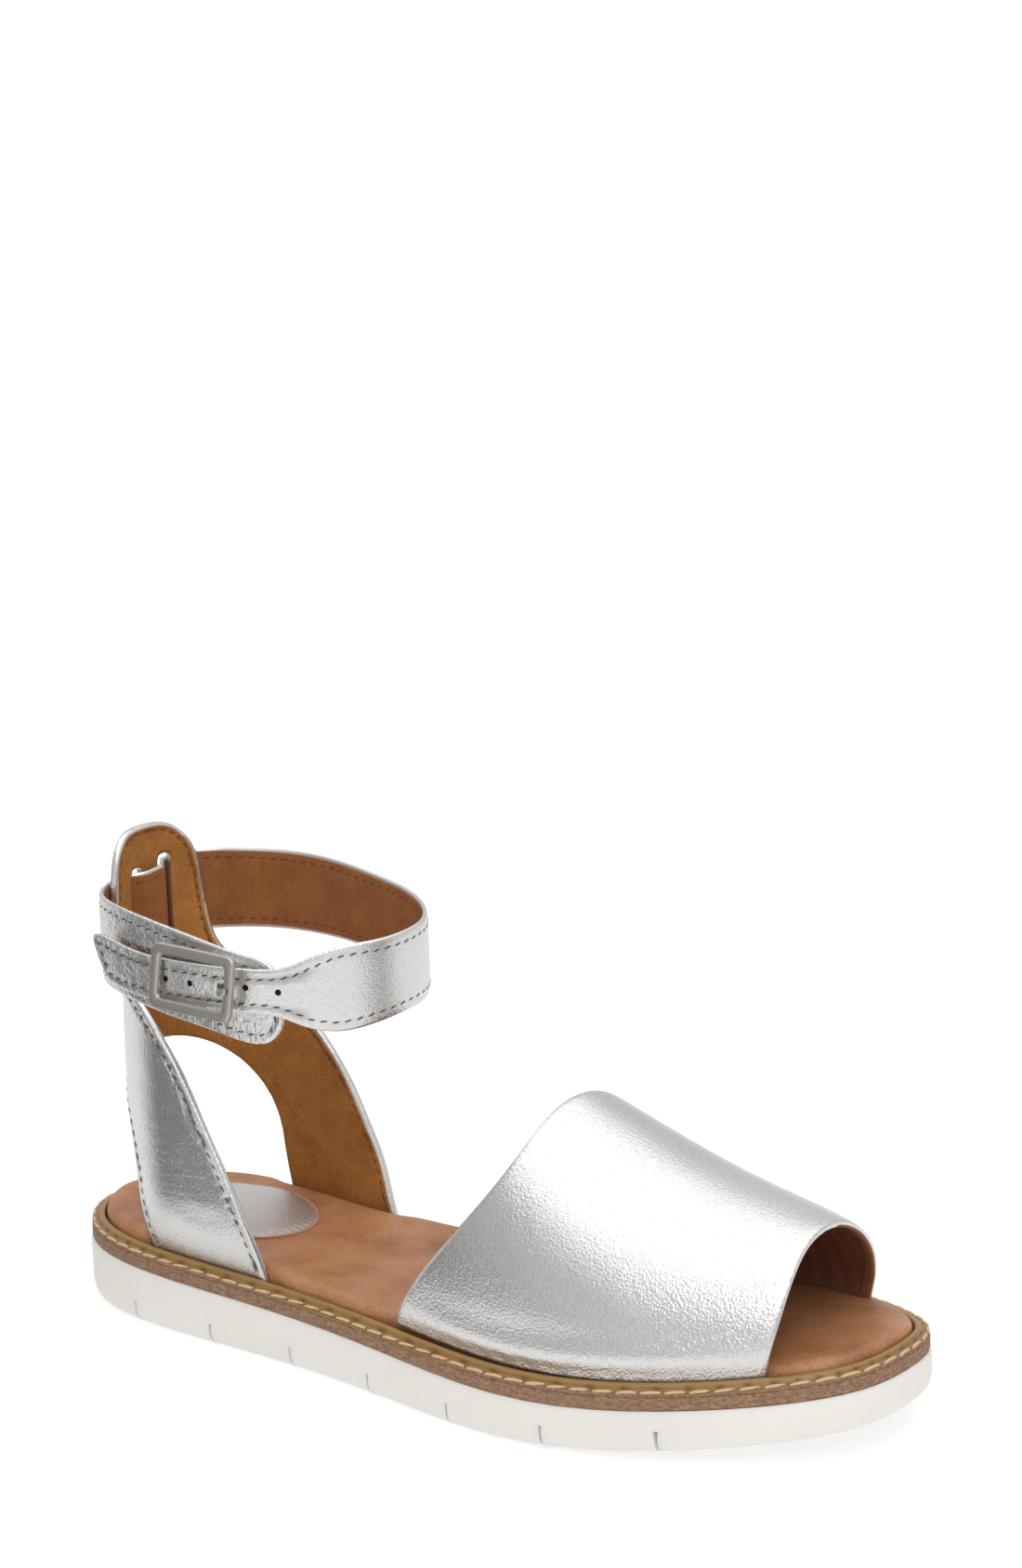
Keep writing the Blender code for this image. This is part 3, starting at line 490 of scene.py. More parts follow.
def sew(name, line, ground, pitch, size, slant, material, keep):
    """A row of stitches of size (length, thickness) along a closed line, each laid on the ground surface."""
    length, thick = size
    line = np.vstack([line, line[:1]])
    pace = np.concatenate([[0], np.cumsum(np.linalg.norm(np.diff(line, axis=0), axis=1))])
    count = round(pace[-1] / pitch)
    step = pace[-1] / count

    def at(distance):
        return Vector([np.interp(distance % pace[-1], pace, line[:, i]) for i in range(3)])

    points, faces = [], []
    for k in range(count):
        ends = [at(k * step + (step - length) / 2), at(k * step + (step + length) / 2)]
        if not keep((ends[0] + ends[1]) / 2):
            continue
        (a, out_a, _, _), (b, out_b, _, _) = [ground.find_nearest(end) for end in ends]
        run = (b - a).normalized()
        lift = (out_a + out_b).normalized()
        side = lift.cross(run).normalized()
        lift = run.cross(side)
        turn = Matrix.Rotation(math.radians(slant), 3, lift)
        turned = np.array([turn @ run, turn @ side, lift])
        scaled = THREAD_POINTS * np.array([(b - a).length + thick * 0.4, thick, thick * 0.8])
        start = len(points) * len(THREAD_POINTS)
        points.append(scaled @ turned + np.array((a + b) / 2 - lift * thick * THREAD_SUNK))
        faces += [tuple(start + i for i in face) for face in THREAD_FACES]
    mesh = bpy.data.meshes.new(name)
    mesh.from_pydata(np.vstack(points).tolist(), [], faces)
    mesh.materials.append(material)
    mesh.shade_smooth()
    row = bpy.data.objects.new(name, mesh)
    bpy.context.scene.collection.objects.link(row)
    return row


def tree_of(piece):
    """The piece's surface, to lay things on."""
    return BVHTree.FromPolygons(
        [v.co for v in piece.data.vertices], [tuple(p.vertices) for p in piece.data.polygons]
    )


def nearest(spots):
    """A search tree of places."""
    near = KDTree(len(spots))
    for i, spot in enumerate(spots):
        near.insert(spot, i)
    near.balance()
    return near


def mark(piece, name, spots, reach):
    """A vertex attribute that is 1 at the spots and fades to 0 at reach."""
    near = nearest(spots)
    attribute = piece.data.attributes.new(name, "FLOAT", "POINT")
    values = [max(0.0, 1 - near.find(v.co)[2] / reach) for v in piece.data.vertices]
    attribute.data.foreach_set("value", values)


welt = copy_node("welt", "welt_strip")
# the ledge is what faces up, lower than the bead
for face in welt.data.polygons:
    face.material_index = 1 if face.normal.z > 0.93 else 0
ledges = face_rims(welt, 1)


def length_of(line):
    return np.linalg.norm(np.roll(line[0], -1, 0) - line[0], axis=1).sum()


ledges.sort(key=length_of)
outer_ledge, inner_ledge = ledges[-1], ledges[-2]
near_edge = nearest(outer_ledge[0])
for face in welt.data.polygons:
    on_edge = near_edge.find(face.center)[2] < 5 * MM and abs(face.normal.z) < 0.7
    outward = face.normal.dot(Vector((face.center.x * 0.4, face.center.y, 0)).normalized()) > 0
    low_side = face.center.z < near_edge.find(face.center)[0].z - 0.1 * MM
    face.material_index = 1 if on_edge and outward and low_side else 0
refine(welt, 50, 0.75, 2)
welt_line = inset_line(*outer_ledge, WELT_STITCH_INSET, 1 * MM)
# hand-guided sewing wanders a little
for number, spot in enumerate(welt_line):
    spot[1] += WELT_STITCH_WAVE * math.sin(number * 0.9) * math.copysign(1, spot[1])
# the stitch line and the groove by the bead: pressed in, and darkened as painted shade
mark(welt, "seam", np.vstack([welt_line, inner_ledge[0]]), 1.2 * MM)

waxed, tree = new_material("welt, waxed tan leather")
# painted shade: the colour is darker along the stitch line and in the groove by the bead, and the wax coat gives a
# soft shine
where = add_node(tree, "ShaderNodeTexCoord", {})
mottle = add_node(
    tree, "ShaderNodeTexNoise",
    {"Vector": where.outputs["Object"], "Scale": 1 / (6 * MM), "Detail": 5.0, "Roughness": 0.7},
)
tone = add_node(
    tree, "ShaderNodeMix",
    {0: mottle.outputs[0], 6: from_hex(WELT_TAN), 7: from_hex(WELT_LIGHT)}, data_type="RGBA",
)
seam = add_node(tree, "ShaderNodeAttribute", {}, attribute_name="seam")
groove_shade = add_node(tree, "ShaderNodeMath", {0: seam.outputs["Fac"], 1: 0.75}, operation="MULTIPLY")
groove_shaded = add_node(
    tree, "ShaderNodeMix", {0: groove_shade.outputs[0], 6: tone.outputs[2], 7: from_hex(WELT_GROOVE_SHADE)}, data_type="RGBA",
)
grain = add_node(
    tree, "ShaderNodeTexNoise", {"Vector": where.outputs["Object"], "Scale": 1 / (0.8 * MM), "Detail": 3.0}
)
hide = add_node(tree, "ShaderNodeBump", {"Height": grain.outputs[0], "Distance": 0.06 * MM, "Strength": 1.0})
pressed = add_node(
    tree, "ShaderNodeBump",
    {"Height": seam.outputs["Fac"], "Distance": 0.4 * MM, "Strength": 1.0, "Normal": hide.outputs[0]},
    invert=True,
)
surface(tree, {
    "Base Color": groove_shaded.outputs[2], "Roughness": 0.42, "Normal": pressed.outputs[0],
    "Coat Weight": 0.25, "Coat Roughness": 0.25,
})
welt.data.materials.append(waxed)
welt.data.materials.append(board)
hang_on_root(welt, "welt_leather", "welt")

cream, tree = new_material("welt thread, waxed cream polyester")
# two plies twisted together: fine slanting ripples with wax in them
where = add_node(tree, "ShaderNodeTexCoord", {})
slanted = add_node(
    tree, "ShaderNodeMapping", {"Vector": where.outputs["Object"], "Rotation": (0.6, 0.0, 0.7), "Scale": (2.2, 1, 1)}
)
twist = add_node(
    tree, "ShaderNodeTexNoise", {"Vector": slanted.outputs[0], "Scale": 1 / (0.9 * MM), "Detail": 1.0}
)
ply = add_node(tree, "ShaderNodeBump", {"Height": twist.outputs[0], "Distance": 0.22 * MM, "Strength": 1.0})
tone = add_node(
    tree, "ShaderNodeMix",
    {0: twist.outputs[0], 6: from_hex(WELT_THREAD_DEEP), 7: from_hex(WELT_THREAD)}, data_type="RGBA",
)
surface(tree, {"Base Color": tone.outputs[2], "Roughness": 0.6, "Normal": ply.outputs[0]})
welt_row = sew(
    "welt_stitches", welt_line, tree_of(welt), WELT_STITCH_PITCH, (WELT_STITCH_LENGTH, WELT_STITCH_THICK),
    4, cream, lambda spot: True,
)
hang_on_root(welt_row, "welt_leather")


# Footbed: foam covered with smooth tan lining leather, turned under at the edge and glued down
# inside the welt. Its colour and shine vary in soft clouds.
FOOTBED_TAN = "AC7650"
FOOTBED_LIGHT = "BC8A62"
FOOTBED_DEEP = "8A583A"

footbed = copy_node("footbed", "footbed_cover")
refine(footbed, 60, 0.5, 2)
calf, tree = new_material("footbed, smooth tan calf lining")
# drummed leather: cloudy dye, a tight fine grain and a low shine
where = add_node(tree, "ShaderNodeTexCoord", {})
cloud = add_node(
    tree, "ShaderNodeTexNoise",
    {"Vector": where.outputs["Object"], "Scale": 1 / (24 * MM), "Detail": 5.0, "Roughness": 0.6},
)
ramp = add_node(tree, "ShaderNodeValToRGB", {"Fac": cloud.outputs[0]})
ramp.color_ramp.elements[0].position = 0.30
ramp.color_ramp.elements[0].color = from_hex(FOOTBED_DEEP)
ramp.color_ramp.elements[1].position = 0.72
ramp.color_ramp.elements[1].color = from_hex(FOOTBED_LIGHT)
middle = ramp.color_ramp.elements.new(0.48)
middle.color = from_hex(FOOTBED_TAN)
speck = add_node(
    tree, "ShaderNodeTexNoise", {"Vector": where.outputs["Object"], "Scale": 1 / (0.7 * MM), "Detail": 4.0}
)
dye = add_node(
    tree, "ShaderNodeMapRange", {"Value": speck.outputs[0], 1: 0.35, 2: 0.65, 3: 0.82, 4: 1.10}
)
tone = add_node(
    tree, "ShaderNodeVectorMath", {0: ramp.outputs[0], "Scale": dye.outputs[0]}, operation="SCALE"
)
cells = add_node(
    tree, "ShaderNodeTexVoronoi", {"Vector": where.outputs["Object"], "Scale": 1 / (0.8 * MM)},
    feature="SMOOTH_F1",
)
soft = add_node(
    tree, "ShaderNodeTexNoise", {"Vector": where.outputs["Object"], "Scale": 1 / (16 * MM), "Detail": 2.0}
)
hide = add_node(tree, "ShaderNodeBump", {"Height": cells.outputs[0], "Distance": 0.05 * MM, "Strength": 1.0})
waves = add_node(
    tree, "ShaderNodeBump",
    {"Height": soft.outputs[0], "Distance": 0.5 * MM, "Strength": 1.0, "Normal": hide.outputs[0]},
)
polish = add_node(
    tree, "ShaderNodeMapRange", {"Value": cloud.outputs[0], 1: 0.3, 2: 0.7, 3: 0.52, 4: 0.40}
)
surface(tree, {
    "Base Color": tone.outputs[0], "Roughness": polish.outputs[0], "Normal": waves.outputs[0],
    "Specular IOR Level": 0.5,
})
footbed.data.materials.append(calf)
hang_on_root(footbed, "footbed_leather", "footbed")
footbed_ground = tree_of(footbed)


def height_on(ground, x, y):
    """The top of a surface at x, y."""
    return ground.ray_cast(Vector((x, y, 0.2)), Vector((0, 0, -1)))[0].z


# Silver leather: calf with a silver foil pressed on, used for the band, quarter, strap and heel sock.
# The foil follows the grain, so flat places shine like soft metal and creased places sparkle.
SILVER = "DEDDDB"
# the thin foil in the grain's hollows, and painted shade along the seams
SILVER_THIN_FOIL_AND_SEAM_SHADE = "A09C9C"
GRAIN_WIDTH = 0.62 * MM


def silver_leather(name, grain_depth, roughness):
    """Foiled calf: warped pebbles over slow waves, seams pressed in with painted shade along them, and cracked where
    marked crinkle.
    """
    made, tree = new_material(name)
    where = add_node(tree, "ShaderNodeTexCoord", {})
    warp = add_node(
        tree, "ShaderNodeTexNoise",
        {"Vector": where.outputs["Object"], "Scale": 1 / (1.8 * MM), "Detail": 2.0},
    )
    bent = add_node(
        tree, "ShaderNodeVectorMath", {0: warp.outputs["Color"], "Scale": 0.6 * MM}, operation="SCALE"
    )
    moved = add_node(tree, "ShaderNodeVectorMath", {0: where.outputs["Object"], 1: bent.outputs[0]})
    pebbles = add_node(
        tree, "ShaderNodeTexVoronoi", {"Vector": moved.outputs[0], "Scale": 1 / GRAIN_WIDTH},
        feature="SMOOTH_F1",
    )
    fine = add_node(
        tree, "ShaderNodeTexNoise", {"Vector": where.outputs["Object"], "Scale": 1 / (0.6 * MM), "Detail": 3.0}
    )
    patches = add_node(
        tree, "ShaderNodeTexNoise", {"Vector": where.outputs["Object"], "Scale": 1 / (22 * MM), "Detail": 3.0}
    )
    depth = add_node(
        tree, "ShaderNodeMapRange", {"Value": patches.outputs[0], 1: 0.36, 2: 0.62, 3: 0.75, 4: 1.0},
        interpolation_type="SMOOTHSTEP",
    )
    waves = add_node(
        tree, "ShaderNodeTexNoise", {"Vector": where.outputs["Object"], "Scale": 1 / (26 * MM), "Detail": 1.0}
    )
    slow = add_node(
        tree, "ShaderNodeBump", {"Height": waves.outputs[0], "Distance": 0.35 * MM, "Strength": 1.0}
    )
    crinkle = add_node(tree, "ShaderNodeAttribute", {}, attribute_name="crinkle")
    cracks = add_node(
        tree, "ShaderNodeTexVoronoi", {"Vector": moved.outputs[0], "Scale": 1 / (3.2 * MM)},
        feature="DISTANCE_TO_EDGE",
    )
    cracked = add_node(tree, "ShaderNodeMapRange", {"Value": cracks.outputs[0], 1: 0.0, 2: 0.12, 4: 0.35})
    folds = add_node(
        tree, "ShaderNodeTexNoise", {"Vector": moved.outputs[0], "Scale": 1 / (2.4 * MM), "Detail": 3.0}
    )
    dented = add_node(tree, "ShaderNodeMath", {0: folds.outputs[0], 1: 2.0}, operation="MULTIPLY")
    broken = add_node(tree, "ShaderNodeMath", {0: dented.outputs[0], 1: cracked.outputs[0]})
    folded = add_node(
        tree, "ShaderNodeBump",
        {"Height": broken.outputs[0], "Distance": 0.20 * MM, "Strength": crinkle.outputs["Fac"],
         "Normal": slow.outputs[0]},
    )
    squash = add_node(tree, "ShaderNodeAttribute", {}, attribute_name="squash")
    flattened = add_node(
        tree, "ShaderNodeMapping", {"Vector": moved.outputs[0], "Scale": (0.8, 0.8, 3.2)}
    )
    wrinkles = add_node(
        tree, "ShaderNodeTexNoise", {"Vector": flattened.outputs[0], "Scale": 1 / (4.5 * MM), "Detail": 2.0}
    )
    wrinkled = add_node(
        tree, "ShaderNodeBump",
        {"Height": wrinkles.outputs[0], "Distance": 0.26 * MM, "Strength": squash.outputs["Fac"],
         "Normal": folded.outputs[0]},
    )
    coarse = add_node(
        tree, "ShaderNodeBump",
        {"Height": pebbles.outputs[0], "Distance": grain_depth, "Strength": depth.outputs[0],
         "Normal": wrinkled.outputs[0]},
    )
    seam = add_node(tree, "ShaderNodeAttribute", {}, attribute_name="seam")
    pressed = add_node(
        tree, "ShaderNodeBump",
        {"Height": seam.outputs["Fac"], "Distance": 0.45 * MM, "Strength": 1.0, "Normal": coarse.outputs[0]},
        invert=True,
    )
    foil = add_node(
        tree, "ShaderNodeBump",
        {"Height": fine.outputs[0], "Distance": 0.09 * MM, "Strength": 1.0, "Normal": pressed.outputs[0]},
    )
    # the foil is thin in the hollows of the grain, and the seams' trench is darkened with the same colour as painted
    # shade
    speckled = add_node(tree, "ShaderNodeMath", {0: pebbles.outputs[0], 1: fine.outputs[0]}, operation="MULTIPLY")
    hollows = add_node(tree, "ShaderNodeMapRange", {"Value": speckled.outputs[0], 1: 0.16, 2: 0.36, 4: 0.18})
    thin_foil_and_seam_shade = add_node(tree, "ShaderNodeMath", {0: seam.outputs["Fac"], 1: hollows.outputs[0]}, operation="MAXIMUM")
    tone = add_node(
        tree, "ShaderNodeMix",
        {0: thin_foil_and_seam_shade.outputs[0], 6: from_hex(SILVER), 7: from_hex(SILVER_THIN_FOIL_AND_SEAM_SHADE)}, data_type="RGBA",
    )
    surface(tree, {
        "Base Color": tone.outputs[2], "Metallic": 0.94, "Roughness": roughness, "Normal": foil.outputs[0],
    })
    return made


# Heel sock: an oval of the silver leather with a pinked edge, glued on the footbed under the heel.
# A dashed line is stamped near its edge. Its stamped mark is left off, so the middle is bare.
SOCK_TEETH = 150
SOCK_TOOTH = 0.45 * MM
SOCK_RAW = "B98A76"
SOCK_RAW_WIDTH = 0.85 * MM
SOCK_THICK = 0.6 * MM

low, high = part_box("heel_sock")
sock_middle = (low + high) / 2
sock_half = (high - low) / 2
bpy.ops.mesh.primitive_circle_add(vertices=2 * SOCK_TEETH, radius=1.0, fill_type="NGON")
sock = bpy.context.object
sock.name = "heel_sock_oval"
bpy.ops.object.mode_set(mode="EDIT")
bpy.ops.transform.resize(value=(sock_half.x, sock_half.y, 1))
for width in (0.45, 0.45, 0.4, 0.4, 0.5, 1.0, 2.0, 3.0, 4.0):
    bpy.ops.mesh.inset(thickness=width * MM)
bpy.ops.object.mode_set(mode="OBJECT")
for vertex in sock.data.vertices:
    x, y = vertex.co.x / sock_half.x, vertex.co.y / sock_half.y
    rim = math.hypot(x, y)
    step = round(math.atan2(y, x) / math.pi * SOCK_TEETH)
    if rim > 0.995 and step % 2:
        vertex.co *= 1 - SOCK_TOOTH / sock_half.y
    in_from_edge = (1 - rim) * sock_half.y
    pillow = 1.4 * MM * min(1, max(0, (in_from_edge - 0.9 * MM) / (7 * MM))) ** 0.6
    dash = 1 if step // 3 % 2 else 0.3
    groove = -0.22 * MM * dash * math.exp(-((in_from_edge - 1.5 * MM) / (0.4 * MM)) ** 2)
    vertex.co.x += sock_middle.x
    vertex.co.y += sock_middle.y
    vertex.co.z = height_on(footbed_ground, vertex.co.x, vertex.co.y) + SOCK_THICK + pillow + groove
for face in sock.data.polygons:
    x, y = (face.center.x - sock_middle.x) / sock_half.x, (face.center.y - sock_middle.y) / sock_half.y
    face.material_index = 1 if math.hypot(x, y) > 1 - SOCK_RAW_WIDTH / sock_half.y else 0
thick = sock.modifiers.new("leather", "SOLIDIFY")
thick.thickness = SOCK_THICK
thick.offset = -1
thick.material_offset_rim = 1
bpy.context.view_layer.objects.active = sock
for finish in (
    silver_leather("heel sock, silver foiled calf", 0.10 * MM, 0.45),
    new_material("heel sock edge, raw pinked calf")[0],
):
    sock.data.materials.append(finish)
bpy.ops.object.modifier_apply(modifier=thick.name)
# the cut shows the undyed middle of the hide
surface(sock.data.materials[1].node_tree, {"Base Color": from_hex(SOCK_RAW), "Roughness": 0.9})
sock.data.shade_smooth()
sock.data.set_sharp_from_angle(angle=math.radians(50))
hang_on_root(sock, "silver_leather", "heel_sock")


# Toe band: one wide piece of silver leather over the ball, with folded edges and no stitching that
# shows. Its lining is dark brown, and both go down between welt and footbed.
LINING_BROWN = "7C4A34"
LINING_RIB = "8A563E"
LINING_LIP = "8A5C40"
LIP_WIDTH = 3.2 * MM        # of the tan lip inside the opening
EDGE_FOLD = 0.9 * MM        # of silver that shows round the edge of a lining
FOLD_REACH = 8.0 * MM
CREASE_FADES = 4.0 * MM
# creases as the foot leaves them: places on the outer side (x, z), half width and depth, all in mm
BAND_CREASES = (
    (((43, 63), (45, 57), (46, 51)), 0.9, 0.09),
    (((46, 63), (48, 56), (48, 50)), 0.9, 0.07),
    (((39, 60), (41, 54), (43, 48)), 1.0, 0.07),
    (((32, 42), (37, 38), (42, 34)), 1.2, 0.11),
    (((28, 41), (33, 37), (38, 33)), 1.1, 0.09),
    (((21, 48), (25, 52), (29, 56)), 1.2, 0.09),
    (((24, 46), (28, 50), (33, 53)), 1.1, 0.07),
    (((52, 40), (60, 37), (68, 34)), 2.6, 0.10),
    # the ridge where the leather turns down over the edge of the footbed
    (((4, 25), (12, 24), (29, 23), (43, 22.5), (57, 23), (80, 25), (100, 27)), 2.8, -0.50),
)


def press_creases(piece, creases, rims):
    """Press soft troughs into the outer side of a piece, each a line of places with a half width and a depth."""
    edge = nearest([spot for places, _ in rims for spot in places])
    ground = tree_of(piece)
    places = np.array([v.co for v in piece.data.vertices]) / MM
    normals = np.array([v.normal for v in piece.data.vertices])
    push = np.zeros(len(places))
    for line, width, depth in creases:
        hits = [ground.ray_cast(Vector((x, -200, z)) * MM, Vector((0, 1, 0)))[0] for x, z in line]
        joints = np.array([hit for hit in hits if hit]) / MM
        gap, share = np.full(len(places), 1e3), np.zeros(len(places))
        for number, (a, b) in enumerate(zip(joints[:-1], joints[1:])):
            run = b - a
            along = ((places - a) @ run / (run @ run)).clip(0, 1)
            away = np.linalg.norm(places - a - along[:, None] * run, axis=1)
            share = np.where(away < gap, (number + along) / (len(joints) - 1), share)
            gap = np.minimum(gap, away)
        ends = np.sin(math.pi * share.clip(0.03, 0.97)) ** 0.5
        # a trough has a low ridge on both sides
        wave = np.exp(-(gap / width) ** 2) - 0.35 * np.exp(-((gap - 2 * width) / width) ** 2)
        push -= depth * ends * wave
    outside = np.einsum("ij,j->i", normals, [0, -1, 0.2]) > 0
    from_edge = np.array([edge.find(v.co)[2] for v in piece.data.vertices]) / CREASE_FADES
    places += normals * (push * outside * from_edge.clip(0, 1) ** 2)[:, None]
    piece.data.vertices.foreach_set("co", (places * MM).ravel())
    piece.data.update()


SHORTEST_FOLD = 120 * MM    # the rims of the slots are shorter, and their edges are raw


def rim_places(piece, side, folded):
    """The places on the long rims of one material index whose edge is folded."""
    lines = [places for places, _ in face_rims(piece, side) if len(places) > 2]
    lines = [line for line in lines if length_of((line, None)) > SHORTEST_FOLD]
    return [spot for line in lines for spot in line if folded(Vector(spot))]


def everywhere(spot):
    return True


band = copy_node("toe_band", "toe_band_leather")
for face in band.data.polygons:
    outwards = Vector((0, face.center.y, face.center.z - 12 * MM)).normalized()
    facing_out = face.normal.dot(outwards)
    face.material_index = 0 if facing_out > 0.3 else 1 if facing_out < -0.3 else 2
band_rims = face_rims(band, 0)
refine(band, 45, 0.35, 2)
mark(band, "fold", rim_places(band, 1, everywhere), FOLD_REACH)
press_creases(band, BAND_CREASES, band_rims)
band_silver = silver_leather("toe band, silver foiled calf", 0.10 * MM, 0.29)
twill, tree = new_material("toe band lining, brown twill")
# fine slanting ribs of the weave, with a lip of tan leather where the band's edge is folded in
where = add_node(tree, "ShaderNodeTexCoord", {})
turned = add_node(
    tree, "ShaderNodeMapping", {"Vector": where.outputs["Object"], "Rotation": (0.0, 0.0, math.radians(35))}
)
ribs = add_node(
    tree, "ShaderNodeTexWave",
    {"Vector": turned.outputs[0], "Scale": 1 / (20 * 1.1 * MM), "Distortion": 1.0, "Detail": 2.0},
    bands_direction="X",
)
woven = add_node(
    tree, "ShaderNodeMix",
    {0: ribs.outputs["Fac"], 6: from_hex(LINING_BROWN), 7: from_hex(LINING_RIB)}, data_type="RGBA",
)
fold = add_node(tree, "ShaderNodeAttribute", {}, attribute_name="fold")
lip = add_node(
    tree, "ShaderNodeMapRange",
    {"Value": fold.outputs["Fac"], 1: 1 - LIP_WIDTH / FOLD_REACH - 0.02, 2: 1 - LIP_WIDTH / FOLD_REACH + 0.02},
)
foiled = add_node(
    tree, "ShaderNodeMapRange",
    {"Value": fold.outputs["Fac"], 1: 1 - EDGE_FOLD / FOLD_REACH - 0.02, 2: 1 - EDGE_FOLD / FOLD_REACH + 0.02},
)
lined = add_node(
    tree, "ShaderNodeMix", {0: lip.outputs[0], 6: woven.outputs[2], 7: from_hex(LINING_LIP)}, data_type="RGBA"
)
tone = add_node(
    tree, "ShaderNodeMix", {0: foiled.outputs[0], 6: lined.outputs[2], 7: from_hex(SILVER)}, data_type="RGBA"
)
metal = add_node(tree, "ShaderNodeMath", {0: foiled.outputs[0], 1: 0.94}, operation="MULTIPLY")
gloss = add_node(tree, "ShaderNodeMapRange", {"Value": foiled.outputs[0], 3: 0.75, 4: 0.36})
cord = add_node(tree, "ShaderNodeBump", {"Height": ribs.outputs["Fac"], "Distance": 0.06 * MM, "Strength": 1.0})
step = add_node(
    tree, "ShaderNodeBump",
    {"Height": lip.outputs[0], "Distance": 0.5 * MM, "Strength": 1.0, "Normal": cord.outputs[0]},
)
surface(tree, {
    "Base Color": tone.outputs[2], "Metallic": metal.outputs[0], "Roughness": gloss.outputs[0],
    "Normal": step.outputs[0],
})
for finish in (band_silver, twill, band_silver):
    band.data.materials.append(finish)
hang_on_root(band, "silver_leather", "toe_band")


# Heel quarter: two legs of silver leather, lined with tan suede, that meet behind the heel in a tab
# with two slots. The leather is folded over its edge, and thread runs just inside it.
HEEL_AXIS = Vector((-76, -1.2, 0)) * MM
SUEDE = "B27A40"
SUEDE_DEEP = "94602C"
THREAD_DARK = "4C413D"
THREAD_BROWN = "6B3D1C"
STITCH_PITCH = 3.2 * MM
STITCH_SIZE = (1.90 * MM, 0.54 * MM)
STITCH_SLANT = 12
STITCH_INSET = 2.2 * MM
SIDE_ENDS_AT = 43          # degrees between a side and its rim
SIDE_STEEPEST = 0.6        # the upward share of a normal that still belongs to a side
PLAIN = (0.85, 0.3)        # a face that surely is one: its share along the axis ray, and upward
BEVEL_BELOW = 50           # degrees between a side and the bevel along it
ARCH_TOP = 84 * MM
ARCH_FRONT = -82 * MM
SQUASH_MIDDLE = Vector((-72, -32, 51)) * MM
SQUASH_REACH = 14 * MM
# where the leg squashes as the heel sits down
LEG_CREASES = (
    (((-86, 61), (-80, 60.5), (-75, 61)), 0.9, 0.07),
    (((-83, 57), (-77, 56), (-71, 57)), 0.9, 0.08),
    (((-81, 54), (-75, 53), (-68, 54.5)), 0.8, 0.09),
    (((-80, 51), (-73, 50.5), (-66, 51.5)), 0.8, 0.08),
    (((-79, 48.5), (-73, 47.5), (-64, 48.5)), 0.8, 0.07),
    (((-78, 45.5), (-71, 44.5), (-62, 46)), 0.8, 0.06),
    (((-80, 66), (-77, 60), (-76, 54)), 1.4, 0.08),
    (((-74, 36), (-66, 34), (-58, 35)), 2.2, 0.14),
)


def split_sides(piece, axis):
    """Material 0 on the side away from an upright axis, 1 on the side towards it and 2 on the rim.

    Each side spreads from its plain faces over the smooth edges, so it stays whole where it bends.
    """
    shape = bmesh.new()
    shape.from_mesh(piece.data)

    def facing(face):
        middle = face.calc_center_median()
        return face.normal.dot(Vector((middle.x - axis.x, middle.y - axis.y, 0)).normalized())

    for face in shape.faces:
        face.material_index = 2
    for side, sign in ((0, 1), (1, -1)):
        front = [f for f in shape.faces if sign * facing(f) > PLAIN[0] and abs(f.normal.z) < PLAIN[1]]
        for face in front:
            face.material_index = side
        while front:
            for edge in front.pop().edges:
                if edge.calc_face_angle(0) < math.radians(SIDE_ENDS_AT):
                    for face in edge.link_faces:
                        if face.material_index == 2 and abs(face.normal.z) < SIDE_STEEPEST:
                            face.material_index = side
                            front.append(face)
    shape.to_mesh(piece.data)
    shape.free()


def add_bevels(piece):
    """Give the bevel along each side the side's material."""
    shape = bmesh.new()
    shape.from_mesh(piece.data)
    bevels = {}
    for edge in shape.edges:
        if edge.calc_face_angle(4) < math.radians(BEVEL_BELOW):
            one, other = sorted(edge.link_faces, key=lambda face: face.material_index)
            if one.material_index < other.material_index == 2:
                bevels[other] = one.material_index
    for face, side in bevels.items():
        face.material_index = side
    shape.to_mesh(piece.data)
    shape.free()


def short_rims(*sides):
    """A search tree of the places on the rims of slots and holes."""
    return nearest([spot for rims in sides for rim in rims if length_of(rim) < SHORTEST_FOLD for spot in rim[0]])


